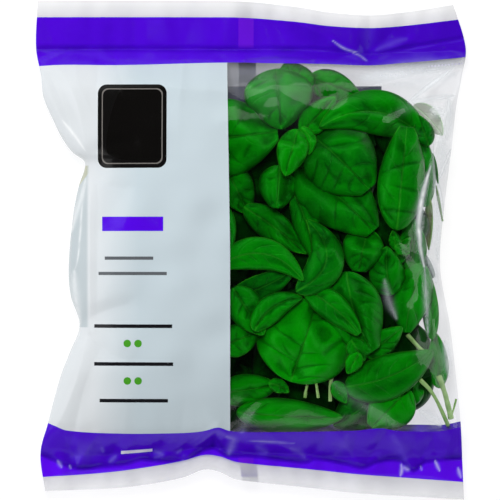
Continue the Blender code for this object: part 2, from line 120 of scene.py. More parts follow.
# a crease of the front film: ends as seen from the front, sideways bow to the left of the way from
# start to end, half width of its ridge, and height, which is negative for a valley
Crease = namedtuple("Crease", "start end bow width height")
CREASES = [Crease(*row) for row in (
    # the flattened left side, between the two places where it is pulled in
    ((-89.5, 50), (-89.5, -44), 0, 2.6, 2.2), ((-95, 36), (-98, -30), 1, 3, -1.6),
    ((-94, 49), (-66, 60), 3, 4, -1.6), ((-94, 49), (-70, 34), -3, 4, -1.2),
    ((-95, -42), (-68, -30), 2, 4, -1.4), ((-95, -42), (-66, -62), -3, 5, -1.8),
    # soft folds of the panel, from its top left corner and along its top
    ((-106, 100), (-93, 54), 4, 5, 2.0), ((-112, 96), (-96, 52), 2, 3, -1.6),
    ((-98, 103), (-78, 62), -3, 6, 1.2), ((-72, 97), (-13, 88), -2, 5, 1.3),
    ((-108, -98), (-92, -46), -3, 5, 1.8), ((-98, -100), (-84, -56), 2, 6, -1.3),
    # low ridges over the top of the window, which cut its reflections into facets
    ((-16, 71), (17, 67), 0, 5, 1.3), ((-2, 84), (13, 92), 0, 4, 0.9), ((13, 92), (32, 80), -1, 4, 0.8),
    ((36, 82), (58, 90), 1, 4, -0.8),
    # the two folds that meet at the pinch in the right side
    ((99.5, 45), (96.5, -9), 4.5, 1.6, 1.5), ((102, 45), (97, -9), 0.5, 1.4, -1.6),
    ((96.5, -9), (98, -49), -1, 2.2, 1.4), ((105, -9), (84, 4), 1, 3, -1.2),
    ((105, -9), (90, -30), 2, 3, -1.0),
    # from the top right corner
    ((116, 104), (76, 70), 3, 3, 1.5), ((118, 100), (95, 66), 2, 3, -1.4),
    ((112, 107), (48, 88), 3, 4, 1.3), ((108, 70), (99, 30), -2, 3, 1.2),
    # the buckle in the top edge, and the facets around it
    ((66, 137), (64, 98), 1, 4, -2.2), ((45.5, 117), (65, 106.5), -1, 2.2, 1.6),
    ((65, 108.5), (90, 117.5), -1, 2.4, 1.4), ((17, 129), (45.5, 117), 1, 4, 1.1),
    ((65, 110), (56, 125), 0, 5, -1.3), ((66, 110), (79, 122), 0, 4, -1.1),
    ((0, 107), (30, 108), 1, 1.6, 0.8), ((34, 106.5), (60, 104.5), -1, 1.6, 0.8),
    ((-104, 110), (-76, 104), 1, 3, -1.0),
    # over the bottom left of the window
    ((-10, -100), (2, -84), 1, 2.5, 1.2), ((50, -76), (86, -100), 2, 3.5, 1.1),
    # the peak in the bottom seal, and the facets on both sides of it
    ((-36, -115.5), (-18.3, -98.6), 0, 2.4, 1.8), ((-18.3, -98.6), (-8, -107), 0, 2.4, 2.0),
    ((-22, -111), (-18.3, -100), 0, 2.6, -2.4), ((-97, -122), (-85, -103), 1, 3, 1.7),
    ((-97, -122), (-106, -102), -1, 4, -1.4), ((-84, -121), (-72, -105), 0, 3, -1.5),
    ((-76, -120), (-66, -107), 0, 2.6, 1.5), ((-58, -117), (-48, -106), 0, 2.6, -1.3),
    ((-52, -118), (-36, -107), 0, 2.4, 1.4), ((-40, -117), (-34, -104), 0, 2.4, -1.1),
    ((31, -118.5), (12, -104), 0, 3, 1.7), ((31, -118.5), (42, -103), 0, 3, -1.4),
    ((63, -121.5), (48, -102), 0, 3.4, 1.8), ((63, -121.5), (75, -101), 0, 3, -1.7),
    ((91, -123.5), (80, -102), 0, 3, 1.9), ((91, -123.5), (102, -103), 0, 3.4, -1.8),
    ((108, -117), (113, -100), 0, 3, 1.3),
)]
# a streak drawn on the film, here a painted highlight, white where a sharp fold catches the light: points
# along it as seen from the front, its half width in the middle, and how opaque it is there
Streak = namedtuple("Streak", "points width cover")
PAINTED_GLINTS = [Streak(*row) for row in (
    # the facets of the flattened left side
    ([(-90.9, 40), (-93.4, 29), (-95, 8), (-96.8, -8), (-100, -14.5)], 0.6, 0.5),
    ([(-91.9, 39.5), (-94.8, 28), (-98, 18), (-100, 10)], 1.7, 0.4),
    ([(-98.3, -11.8), (-98, -24.5), (-95.4, -40.9)], 2.4, 0.4),
    ([(-105, 72.3), (-98.3, 64.1), (-92, 55.2)], 0.8, 0.5),
    # the right side, around its pinch
    ([(99.8, 47), (95, 29), (93.2, 14.5), (94, 2), (96.2, -9)], 1.6, 0.95),
    ([(101.2, 44.5), (102.2, 25), (101, 8), (96.4, -9)], 0.6, 0.55),
    ([(96.4, -9), (97, -22), (98.3, -47)], 1.5, 0.45), ([(105.5, 64), (107, 50), (106, 42)], 3.0, 0.35),
    ([(111.5, 56), (107.6, 47), (104.7, 39.8)], 1.0, 0.95),
    ([(104.1, 37.5), (105.9, 28), (107.4, 18)], 0.8, 0.9),
    ([(101.4, 62), (101.4, 47), (102.4, 34), (101.7, 10)], 0.7, 0.6),
    ([(104, 30), (104.4, 12), (104.2, -6)], 2.6, 0.4), ([(98, -4), (101, -11), (103, -18)], 1.9, 0.5),
    ([(107.5, -51), (109, -60), (110, -70)], 2.2, 0.5),
    # the top right corner
    ([(112, 101), (99.5, 91.7), (87.3, 82.3)], 1.1, 0.6),
    ([(61.7, 96), (82.8, 98), (112, 103)], 4.5, 0.35), ([(80, 92), (95, 94), (113, 98)], 4.0, 0.25),
    ([(88, 82), (100, 84), (113, 86)], 1.8, 0.4), ([(100, 78), (103.5, 77), (107, 76)], 2.4, 0.7),
    ([(110, 84), (110, 74), (109, 62)], 2.6, 0.5), ([(81, 76.5), (86, 78.5), (91, 79.5)], 2.4, 0.08),
    # over the window's leaves
    ([(74, -16.5), (76.4, -28), (80.6, -38)], 1.9, 0.32),
    ([(94.4, -89.5), (99, -92.5), (105.5, -97.5)], 2.6, 0.75), ([(4, 94), (14, 86), (26, 82)], 12, 0.05),
    ([(45.5, -73.5), (63.7, -86.5), (80.2, -97.8)], 3.6, 0.10),
    ([(-5, -101), (-3.5, -95), (1, -90)], 2.8, 0.15),
    # facets and glints of the bottom band
    ([(83.7, -119.4), (84.4, -122), (83.6, -126.3)], 0.8, 0.5), ([(84.5, -121), (88.4, -123)], 1.0, 0.4),
    ([(102.7, -117.5), (105.5, -123.5)], 0.7, 0.5), ([(94.6, -120.5), (95.4, -123)], 0.5, 0.3),
    ([(115.6, -121.7), (117.4, -127.2)], 0.9, 0.4), ([(-108, -117.6), (-105.6, -121.5)], 0.8, 0.35),
    ([(-101.5, -120), (-100.5, -122.3)], 0.5, 0.3),
    ([(-100, -115), (-92, -112.5), (-84, -111)], 4.0, 0.03), ([(-83.5, -110), (-82.3, -113)], 1.0, 0.08),
    ([(-79, -118.5), (-75.5, -115)], 1.2, 0.07), ([(-54, -112), (-49, -114.5)], 1.6, 0.07),
    ([(-41.5, -113.5), (-38.5, -111)], 0.9, 0.07),
    ([(-13.5, -104), (-10, -106), (-12.5, -114)], 2.0, 0.12),
    ([(-3, -106), (10, -106.8), (24, -107.6)], 0.5, 0.2), ([(3, -109.5), (9, -113)], 1.8, 0.05),
    ([(22, -110.5), (27, -112.5), (30, -116)], 1.6, 0.05),
    ([(47, -114), (52, -109), (53.5, -103)], 3.5, 0.025),
    ([(79, -104), (83, -110), (86, -117)], 3.6, 0.025),
    # and of the top band
    ([(45.5, 117), (50, 113.6), (54, 111.6), (60, 110.2)], 0.5, 0.35),
    ([(57, 110), (61, 108.4), (65, 105)], 0.45, 0.3), ([(66, 130), (65.5, 120), (65, 113)], 3.2, 0.015),
    ([(70, 111.5), (80, 116), (87, 118)], 1.8, 0.03),
)]
# painted shade: darker print where the film lies in a deep fold
PAINTED_FOLD_SHADE = [Streak(*row) for row in (
    ([(-34, -114), (-27, -109), (-20.5, -103.5)], 1.5, 0.6), ([(-21.6, -110), (-20.5, -104.5)], 2.4, 0.8),
    ([(-20, -104), (-16.5, -109), (-12.5, -115)], 1.3, 0.7),
    ([(-3, 106), (18, 107.4), (38, 105.6)], 1.1, 0.5), ([(54, 108), (65, 105.4), (76, 109.5)], 1.3, 0.6),
)]
CREASE_END = 0.35           # the share of its height that a crease keeps at its ends
# folds that run from the end seals: their spacing, how far across the bag they reach, the ranges of
# their shift, lean, half width, length and height, and how they fan out towards the bag's sides
FOLD_SPACING = 8.0
FOLD_SPAN = 112
FOLD_SHIFT = 3.5
FOLD_LEAN = 0.25
FOLD_WIDTHS = (1.6, 4.2)
FOLD_LENGTHS = (14, 42)
FOLD_HEIGHTS = (0.3, 1.25)
FOLD_FAN = 0.1
RIDGE_SHARPNESS = 1.3       # 1 is a sharp crest and 2 a round one
FOLD_REACH = 1.5            # how far a crease's facets reach, in half widths
FOLD_CORNER = 9.0           # how crisply they end
SEAL_EASE = 6.0             # from this far inside a seal line to the next one beyond it, the film
SEAL_RUN = 2.0              # becomes a wavy seal
TOP_GROOVE = (1.2, 1.0)     # half width and depth of the grooves along the seals' inner edges
BOTTOM_GROOVE = (1.3, 1.3)
GROOVE_INSIDE = 0.8         # how far inside the edge the bottom one lies
FIN_COLUMNS = 9             # grid columns over the fin seal
FIN_THICKNESS = 0.25
FIN_SINK = 0.45             # the share of its channel's depth that the fin lies below the film
FIN_LIFT = 0.2              # and its least height over the underside of the CAD fin
FIN_CRIMP = 0.12            # height of the crimps across it, and the way between them
CRIMP_PITCH = 2.4
BACK_SHIFT_FROM = 0.8       # the back print is shifted only beyond this share of the half width
# unevenness of the film: its height, its wavelength, and the seed of its plane waves
FRONT_SWELL = (0.45, 34, 3)
BACK_SWELL = (0.3, 30, 4)
SEAL_SWELL = (1.1, 46, 5)
SEAL_RIPPLE = (0.35, 13, 6)
SHADE_PATCHES = (0.25, 22, 8)
TOP_SHADE = 0.55            # how strong the painted shade is in the folds along the seals
BOTTOM_SHADE = 0.75
FRONT_FOLD_SEED = 11        # of the folds that run from the end seals
BACK_FOLD_SEED = 23


def through(stations, at):
    """A smooth curve through (position, value) stations, by cubic pieces."""
    places, values = np.array(stations, float).T
    count = len(places)
    before = np.maximum(np.arange(count) - 1, 0)
    after = np.minimum(np.arange(count) + 1, count - 1)
    slopes = (values[after] - values[before]) / (places[after] - places[before])
    k = np.clip(np.searchsorted(places, at) - 1, 0, count - 2)
    span = places[k + 1] - places[k]
    t = np.clip((at - places[k]) / span, 0, 1)
    return ((2 * t**3 - 3 * t**2 + 1) * values[k] + (t**3 - 2 * t**2 + t) * span * slopes[k]
            + (3 * t**2 - 2 * t**3) * values[k + 1] + (t**3 - t**2) * span * slopes[k + 1])


def share(value, span):
    """How far a value is from the start of a span to its end, from 0 to 1."""
    start, end = span
    return np.clip((value - start) / (end - start), 0.0, 1.0)


def smooth_step(t):
    t = np.clip(t, 0.0, 1.0)
    return t * t * (3 - 2 * t)


def ease(value, span):
    """The same share as a smooth step."""
    return smooth_step(share(value, span))


def ridge(away, width):
    """A soft ridge of unit height, from the distance to its crest."""
    return np.exp(-(away / width) ** 2)


def waves(x, y, length, seed, count=14):
    """A smooth random field of about unit height, made of plane waves around one wavelength."""
    rng = np.random.default_rng(seed)
    total = np.zeros(np.broadcast(x, y).shape)
    for _ in range(count):
        turn = rng.uniform(0, 2 * math.pi)
        number = 2 * math.pi / (length * rng.uniform(0.6, 1.6))
        phase = rng.uniform(0, 2 * math.pi)
        total += np.sin(number * (x * math.cos(turn) + y * math.sin(turn)) + phase)
    return total / math.sqrt(count / 2)


def uneven(x, y, field):
    height, length, seed = field
    return height * waves(x, y, length, seed)


# ---- film shape ----
def fullness(along):
    """How far the bag is filled out at a distance along it: 0 in the end seals, 1 halfway."""
    middle = (TOP_SEAL_LINE + BOTTOM_SEAL_LINE) / 2
    t = np.abs(along - middle) / ((TOP_SEAL_LINE - BOTTOM_SEAL_LINE) / 2)
    return np.clip(1 - t**2.8, 0, 1) ** 0.9


def section(across, full):
    """Height of the film over its side lines as a share of its greatest."""
    return np.clip(1 - np.abs(across) ** 2.8, 0, 1) ** (0.8 - 0.25 * np.sqrt(full))


def sides(along):
    """Distances across the bag of its two side lines."""
    return through(LEFT_SIDE, along), through(RIGHT_SIDE, along)


def share_across(x, along):
    """Where a place lies between the side lines: -1 is the left one, and 1 the right one."""
    left, right = sides(along)
    return (2 * x - left - right) / (right - left)


def plan_point(across, along):
    """Where a point of the film lies as seen from the front."""
    left, right = sides(along)
    x = (left + right) / 2 + across * (right - left) / 2
    shift = (share(along, TOP_CURL) * through(TOP_EDGE, x)
             + share(along, BOTTOM_CURL) * through(BOTTOM_EDGE, x))
    return x, along + shift


def side_line(along):
    return END_HEIGHT + (SIDE_HEIGHT - END_HEIGHT) * smooth_step(2 * fullness(along))


def crease_relief(creases, x, y):
    """Height that creases add at points seen from the front: each is a pair of flat facets."""
    total = np.zeros_like(x)
    for crease in creases:
        start, end = np.array(crease.start, float), np.array(crease.end, float)
        run = end - start
        length = np.hypot(*run)
        along = ((x - start[0]) * run[0] + (y - start[1]) * run[1]) / length**2
        beside = (-(x - start[0]) * run[1] + (y - start[1]) * run[0]) / length
        t = np.clip(along, 0, 1)
        beside = beside - 4 * crease.bow * t * (1 - t)
        beyond = np.maximum(np.abs(along - 0.5) - 0.5, 0) * length
        away = np.hypot(beside, beyond) / crease.width
        fade = CREASE_END + (1 - CREASE_END) * np.sin(math.pi * np.clip(along, 0.08, 0.92)) ** 0.6
        facets = np.logaddexp(0, FOLD_CORNER * (1 - away / FOLD_REACH)) / FOLD_CORNER
        total += crease.height * fade * facets
    return total


def streak_cover(streaks, x, y):
    """How strongly any of the streaks covers points seen from the front."""
    total = np.zeros_like(x)
    for streak in streaks:
        points = np.array(streak.points, float)
        steps = np.hypot(*np.diff(points, axis=0).T)
        starts = np.concatenate(([0], np.cumsum(steps))) / steps.sum()
        knots = [list(zip(starts, points[:, axis])) for axis in range(2)]
        best = np.zeros_like(x)
        for t in np.linspace(0, 1, STREAK_STEPS):
            near = np.hypot(x - through(knots[0], t), y - through(knots[1], t))
            width = streak.width * math.sin(math.pi * (0.06 + 0.88 * t)) ** 0.7
            best = np.maximum(best, np.exp(-(near / width) ** 1.7))
        total = np.maximum(total, streak.cover * best)
    return total


def seal_folds(x, along, seed):
    """Folds that run from the end seals into the filled part of the film."""
    total = np.zeros_like(x)
    for end, seal in ((1, TOP_SEAL_LINE), (-1, -BOTTOM_SEAL_LINE)):
        rng = np.random.default_rng(seed + end)
        inside = seal - end * along
        for place in np.arange(-FOLD_SPAN, FOLD_SPAN + 1, FOLD_SPACING):
            centre = place + rng.uniform(-FOLD_SHIFT, FOLD_SHIFT)
            lean = rng.uniform(-FOLD_LEAN, FOLD_LEAN) - FOLD_FAN * centre / FOLD_SPAN
            width = rng.uniform(*FOLD_WIDTHS)
            length = rng.uniform(*FOLD_LENGTHS)
            height = rng.uniform(*FOLD_HEIGHTS) * rng.choice((-1, 1))
            away = np.abs(x - centre - lean * inside) / width / (1 + np.clip(inside, 0, 60) / 30)
            reach = smooth_step((inside + 5) / 9) * np.exp(-(np.clip(inside, 0, None) / length) ** 2)
            total += height * np.exp(-away**RIDGE_SHARPNESS) * reach
    return total


def seal_relief(x, y, along):
    """The gentle waves and the crimped inner edge of the two end seals."""
    in_top = ease(along, (TOP_SEAL_LINE - SEAL_EASE, TOP_SEAL_LINE + SEAL_RUN))
    in_bottom = ease(along, (BOTTOM_SEAL_LINE + SEAL_EASE, BOTTOM_SEAL_LINE - SEAL_RUN))
    swell = uneven(x, along * 0.4, SEAL_SWELL)
    ripple = uneven(x, along * 0.25, SEAL_RIPPLE)
    top_groove = ridge(y - through(TOP_CRIMP, x), TOP_GROOVE[0])
    bottom_groove = ridge(y - through(BOTTOM_CRIMP, x) - GROOVE_INSIDE, BOTTOM_GROOVE[0])
    return (in_top * (0.7 * swell + 0.6 * ripple) + in_bottom * (swell + ripple)
            - TOP_GROOVE[1] * top_groove - BOTTOM_GROOVE[1] * bottom_groove)


def film_height(across, along, x, y, front):
    """Height of the front or the back film, with all its folds."""
    full = fullness(along)
    over = section(across, full)
    offset = FILM_OFFSET + FULL_OFFSET * full * over
    filled = np.clip(full * 6, 0, 1)
    creases = crease_relief(CREASES, x, y)
    common = seal_relief(x, y, along) + creases * (1 - filled)
    free = over**0.4
    if front:
        relief = (creases + seal_folds(x, along, FRONT_FOLD_SEED)) * filled
        relief = relief + uneven(x, y, FRONT_SWELL) * full
        return side_line(along) + FRONT_RISE * full * over + offset + common + free * relief
    relief = seal_folds(x, along, BACK_FOLD_SEED) * filled + uneven(x, y, BACK_SWELL) * full
    height = side_line(along) - BACK_FALL * full * over - offset + free * relief
    over_fin = ((across > FIN_LEFT - 0.02) & (across < FIN_RIGHT + 0.02)) * np.clip(5 * full, 0, 1)
    return np.maximum(height, 0) + FIN_RECESS * over_fin + common


def seal_masks(x, y):
    """Where the film shows as sealed, and the shade painted into the folds along the seals."""
    over_top = y - through(TOP_CRIMP, x)
    over_bottom = y - through(BOTTOM_CRIMP, x)
    sealed = np.maximum(smooth_step(over_top / 1.2), smooth_step(-over_bottom / 1.2))
    patches = 0.75 + uneven(x, y, SHADE_PATCHES)
    inside = np.clip(over_bottom, 0, None)
    shade = (TOP_SHADE * ridge(over_top + 0.4, 1.5)
             + BOTTOM_SHADE * smooth_step(over_bottom / 0.8) * ridge(inside, 3.4))
    return sealed, np.clip(shade * patches, 0, 1)


def print_shift(x, y):
    """How far the print near the seals lies from its straight place, at points of the front film."""
    top = through(TOP_SAG, x) * ease(y, TOP_SAG_STARTS) * ease(y, TOP_SAG_ENDS)
    upper, lower = through(BOTTOM_RISE, x), through(BOTTOM_SAG, x)
    bottom = (upper + (lower - upper) * share(y, BOTTOM_BAND_SPAN)) * ease(y, BOTTOM_RISE_STARTS)
    return top + bottom


# ---- meshes ----
def new_object(name, mesh):
    made = bpy.data.objects.new(name, mesh)
    bpy.context.scene.collection.objects.link(made)
    return made


def grid_faces(rows, columns, around=False):
    """Faces of a grid of points; around joins the last column to the first."""
    across = columns if around else columns - 1
    r, c = np.meshgrid(np.arange(rows - 1), np.arange(across), indexing="ij")
    after = (c + 1) % columns
    faces = np.stack((r * columns + c, r * columns + after, (r + 1) * columns + after,
                      (r + 1) * columns + c), axis=-1)
    return faces.reshape(-1, 4)


def grid_mesh(name, points, rows, columns):
    mesh = bpy.data.meshes.new(name)
    mesh.from_pydata((np.asarray(points) * MM).tolist(), [], grid_faces(rows, columns).tolist())
    mesh.shade_smooth()
    return mesh


def add_attribute(mesh, name, values):
    made = mesh.attributes.new(name, "FLOAT", "POINT")
    made.data.foreach_set("value", np.asarray(values, np.float32).ravel())


def thicken(made, thickness, offset, rim_finish=0):
    """Give a sheet a thickness: offset -1 adds it behind its faces, and 0 on both sides."""
    solid = made.modifiers.new("Solidify", "SOLIDIFY")
    solid.thickness = thickness * MM
    solid.offset = offset
    solid.material_offset = rim_finish


# ---- node helpers ----
def operator(operation):
    return lambda first, second=0.0: first.shader.math(operation, first, second)


class Wire:
    """A value in a node tree. Sums, products and so on add math nodes, and a comparison gives a mask:
    1 where it holds, and 0 elsewhere."""

    def __init__(self, shader, socket):
        self.shader = shader
        self.socket = socket

    def __rsub__(self, other):
        return self.shader.math("SUBTRACT", other, self)

    __add__ = operator("ADD")
    __sub__ = operator("SUBTRACT")
    __mul__ = operator("MULTIPLY")
    __truediv__ = operator("DIVIDE")
    __pow__ = operator("POWER")
    __lt__ = operator("LESS_THAN")
    __gt__ = operator("GREATER_THAN")
    __abs__ = operator("ABSOLUTE")
    fraction = operator("FRACT")


class Shader:
    """A material's node tree, with short calls to add and join its nodes."""

    def __init__(self, name):
        self.material = bpy.data.materials.new(name)
        self.material.use_nodes = True
        self.nodes = self.material.node_tree.nodes
        self.links = self.material.node_tree.links
        self.surface = self.nodes["Principled BSDF"]
        self.output = self.nodes["Material Output"]

    def put(self, node, socket, value):
        """Join a wire to the socket, or set the socket to a plain value."""
        if isinstance(value, Wire):
            self.links.new(value.socket, node.inputs[socket])
        else:
            node.inputs[socket].default_value = value

    def fill(self, node, **sockets):
        """Set sockets by name, with _ for each space."""
        for socket, value in sockets.items():
            self.put(node, socket.replace("_", " "), value)

    def add(self, kind, **sockets):
        node = self.nodes.new(kind)
        self.fill(node, **sockets)
        return node

    def wire(self, node, output=0):
        return Wire(self, node.outputs[output])

    def math(self, operation, first, second=0.0, clamp=False):
        node = self.nodes.new("ShaderNodeMath")
        node.operation = operation
        node.use_clamp = clamp
        self.put(node, 0, first)
        self.put(node, 1, second)
        return self.wire(node)

    def mix(self, factor, first, second):
        """A colour between two others."""
        node = self.nodes.new("ShaderNodeMix")
        node.data_type = "RGBA"
        for socket, value in ((0, factor), (6, first), (7, second)):
            self.put(node, socket, value)
        return self.wire(node, 2)

    def blend(self, factor, first, second):
        """A surface between two others."""
        node = self.nodes.new("ShaderNodeMixShader")
        for socket, value in enumerate((factor, first, second)):
            self.put(node, socket, value)
        return self.wire(node)

    def between(self, value, low, high):
        return (value > low) * (value < high)

    def either(self, *masks):
        total = masks[0]
        for mask in masks[1:]:
            total = self.math("MAXIMUM", total, mask)
        return total

    def attribute(self, name):
        node = self.nodes.new("ShaderNodeAttribute")
        node.attribute_name = name
        return self.wire(node, "Fac")

    def place(self):
        return self.wire(self.nodes.new("ShaderNodeTexCoord"), "Object")

    def noise(self, scale, detail=2.0, where=None):
        """Noise with this many features a metre."""
        where = where or self.place()
        return self.wire(self.add("ShaderNodeTexNoise", Scale=scale, Detail=detail, Vector=where), "Fac")

    def range(self, value, low, high, to_low=0.0, to_high=1.0):
        """The value's way from low to high, carried over to another range and kept within it."""
        node = self.add("ShaderNodeMapRange", Value=value, From_Min=low, From_Max=high, To_Min=to_low,
                        To_Max=to_high)
        return self.wire(node, "Result")

    def bump(self, height, distance, strength=1.0):
        node = self.add("ShaderNodeBump", Height=height, Distance=distance, Strength=strength)
        return self.wire(node, "Normal")


# ---- colours, as linear light ----
PURPLE = (0.076, 0.0025, 0.66, 1)
WORN_PURPLE = (0.062, 0.0020, 0.56, 1)
SINGLE_PURPLE = (0.060, 0.0018, 0.56, 1)   # where only one layer lies over the dark contents
PANEL = (0.50, 0.58, 0.62, 1)
# painted reflection of the left light on the panel's left slope
PANEL_LIT_LEFT = (0.63, 0.66, 0.68, 1)
MILK = (0.86, 0.862, 0.868, 1)
MILK_INNER = (0.70, 0.70, 0.74, 1)
LOW_MILK = (0.97, 0.97, 0.975, 1)
PRESSED_PANEL = (0.46, 0.515, 0.54, 1)
TUCKED_PANEL = (0.45, 0.47, 0.36, 1)
PLAQUE = (0.004, 0.0036, 0.0034, 1)
PLAQUE_LINE = (0.16, 0.15, 0.14, 1)
GREY_INK = (0.10, 0.11, 0.12, 1)
BLACK_INK = (0.008, 0.008, 0.010, 1)
GREEN_INK = (0.06, 0.30, 0.02, 1)
WHITE_INK = (0.80, 0.80, 0.84, 1)
# painted highlight: the white of the film's glint streaks
GLINT_WHITE = (0.97, 0.975, 0.975, 1)
# painted shade of the bands' folds, also used for the darker top right of the top band
DARK_PURPLE = (0.026, 0.0008, 0.34, 1)
BRIGHT_PURPLE = (0.105, 0.0035, 0.84, 1)
LAYERED_PURPLE = (0.17, 0.012, 0.68, 1)    # where the fin seal lies behind the sealed band
BACK_BLOCK = (0.085, 0.092, 0.14, 1)
# painted shadow on the back film
BACK_SHADOW_GREY = (0.30, 0.31, 0.35, 1)
CUT_INK = (0.36, 0.34, 0.52, 1)
WHITE = (1, 1, 1, 1)
HAZY_FILM = (0.875, 0.878, 0.887, 1)       # the share of each colour that clear film lets through
CLEAR_FILM = (0.915, 0.918, 0.928, 1)
DARK_FIN = (0.16, 0.155, 0.18, 1)
PALE_FIN = (0.22, 0.215, 0.24, 1)
MILK_COVER = 0.6            # how opaque the milky margins are beside the bands
RIM_COVER = (0.25, 0.85)    # and at the bottom edge and the top one
INK_COVER = 0.965           # how opaque the print is
FACE_GLEAM = 0.026          # share of light that clear film mirrors where it is seen face on
EDGE_GLEAM = 0.30           # and how much more where it is seen edge on

# ---- the print: everything below is a distance along or across the bag ----
LAP = 480.0                 # the print's coordinate round the tube runs from 0 to this
FRONT_SPAN = LAP / 2        # the front film's share of it, then comes the back film
TOP_BAND = (104.5, 130.0)   # the purple bands, on the front film and then on the back one
BOTTOM_BAND = (-126.5, -100.6)
BACK_TOP_BAND = (107.5, 130.0)
BACK_BOTTOM_BAND = (-126.5, -97.5)
PANEL_EDGE = -11.5          # the panel's right edge on the front film, at its lower half
PANEL_LEAN = 0.0165         # how far it leans to the left above, for each unit of length
BACK_PANEL_EDGE = -14.0     # and on the back film, beside the fin seal
FIN_BODY = (-97.0, 98.0)    # where the fin has no purple on it
BACK_SHADOW_ACROSS = (-8.0, 84.0)  # painted shadow on the back film: greyest beside the fin seal, and clear at the right
BACK_SHADOW_COVER = 0.85
BACK_TOP_SHADOW = (98.0, 105.0)    # and the painted shadow greys it towards the top band
BACK_TOP_SHADOW_COVER = 0.75
PANEL_LIGHT_FADE = (-88, -62)     # painted light: the panel is palest to the left of this, for the left light's reflection on its slope
PRESSED_ACROSS = (-90, -91.5)              # and pressed flat against the back film here
PRESSED_ALONG = (-43, 47)
FIN_ACROSS = (-7, 1.5)      # where the fin seal lies behind the sealed bands
DARK_ACROSS = (12, 55)      # over this span the top band darkens to the right
MARGIN_ALONG = (128.0, 137.0)              # the milky margins change from their bands to the edges
BLOCK_ACROSS = (-73.0, 73.0)               # the dark block of back print
BLOCK_ALONG = (-92.0, 91.5)
TUCK_SLOPE = 1.29           # the small fold at the top of the flattened left side
TUCK_START = 4.4
# boxes as left, right, bottom and top
PLAQUE_BOX = (-85.0, -46.7, 45.5, 92.0)
# its layers: how far each is inset, the radius of its corners, and its ink
PLAQUE_LAYERS = [(0.0, 5.0, PLAQUE), (2.2, 3.4, PLAQUE_LINE), (2.8, 3.4, PLAQUE)]
TITLE_BAR = (-82.5, -48.5, 10.5, 18.5)
GREY_RULES = [(-81.0, -54.0, -5.4, -3.6), (-84.5, -46.5, -13.9, -12.1)]
BLACK_RULES = [(-87.0, -43.5, -43.2, -41.2), (-87.0, -43.0, -64.2, -62.2), (-84.0, -46.0, -84.6, -82.6)]
GREEN_DOTS = [(-68.5, -51.8), (-62.5, -51.8), (-68.5, -72.6), (-62.5, -72.6)]
DOT_RADIUS = 2.1
WEIGHT_RULE = (-72.5, -55.0, -115.0, -112.8)   # a plain white rule in the bottom band
CUT_LINE = (99.0, 118.0, 100.4, 101.4)
CUT_DASH = 1.9              # from one dash of the cut line to the next


def front_lap(x):
    """The print's coordinate round the tube of a place on the front film."""
    return x + FRONT_SPAN / 2


def back_lap(x):
    """The same for the back film, which runs on round the right side."""
    return 1.5 * FRONT_SPAN - x


def box_mask(shader, lap, along, box):
    """The mask of a box (left, right, bottom, top) on the front film."""
    left, right, bottom, top = box
    return shader.between(lap, front_lap(left), front_lap(right)) * shader.between(along, bottom, top)


def rounded_mask(shader, lap, along, box, radius):
    """A box with round corners, from its distance field."""
    left, right, bottom, top = box
    squares = []
    for value, low, high in ((lap, front_lap(left), front_lap(right)), (along, bottom, top)):
        from_middle = abs(value - (low + high) / 2)
        past = shader.math("MAXIMUM", from_middle - ((high - low) / 2 - radius), 0.0)
        squares.append(past * past)
    return squares[0] + squares[1] < radius**2


def front_range(shader, lap, span, low=0.0, high=1.0):
    """A value that goes from low to high over a span across the front film."""
    return shader.range(lap, front_lap(span[0]), front_lap(span[1]), low, high)


def panel_colour(shader, lap, along):
    """The panel's colour: palest at its left, a painted reflection of the left light on its slope, and
    darker where its side is pressed flat.
    """
    colour = shader.mix(front_range(shader, lap, PANEL_LIGHT_FADE), PANEL_LIT_LEFT, PANEL)
    pressed = front_range(shader, lap, PRESSED_ACROSS) * shader.between(along, *PRESSED_ALONG)
    colour = shader.mix(pressed, colour, PRESSED_PANEL)
    over_tuck = along - lap * TUCK_SLOPE
    return shader.mix(pressed * (over_tuck > TUCK_START), colour, TUCKED_PANEL)


def marked(shader, lap, along, colour):
    """The panel's colour with its plain printed marks over it."""
    boxes = [(TITLE_BAR, PURPLE)] + [(rule, GREY_INK) for rule in GREY_RULES]
    for box, ink in boxes + [(rule, BLACK_INK) for rule in BLACK_RULES]:
        colour = shader.mix(box_mask(shader, lap, along, box), colour, ink)
    for x, y in GREEN_DOTS:
        across, up = lap - front_lap(x), along - y
        colour = shader.mix(across * across + up * up < DOT_RADIUS**2, colour, GREEN_INK)
    left, right, bottom, top = PLAQUE_BOX
    for inset, radius, ink in PLAQUE_LAYERS:
        box = (left + inset, right - inset, bottom + inset, top - inset)
        colour = shader.mix(rounded_mask(shader, lap, along, box, radius), colour, ink)
    return colour


def band_colour(shader, lap, along, worn):
    """The bands' purple: brightest in the bottom seal, darkest where shade is painted into folds, and
    darker at the top right.
    """
    sealed, low = shader.attribute("sealed"), along < 0.0
    colour = shader.mix(worn, WORN_PURPLE, PURPLE)
    loose = (1.0 - sealed) * low * shader.range(worn, 0.35, 0.65, 0.7, 1.0)
    colour = shader.mix(loose, colour, SINGLE_PURPLE)
    colour = shader.mix(sealed * low, colour, BRIGHT_PURPLE)
    over_fin = sealed * shader.between(lap, front_lap(FIN_ACROSS[0]), front_lap(FIN_ACROSS[1]))
    colour = shader.mix(over_fin * 0.6, colour, LAYERED_PURPLE)
    to_right = front_range(shader, lap, DARK_ACROSS, 0.0, 0.45) * (along > 0.0)
    # painted shade in the folds, and the top band's darker top right
    return shader.mix(shader.either(shader.attribute("shade"), to_right), colour, DARK_PURPLE)


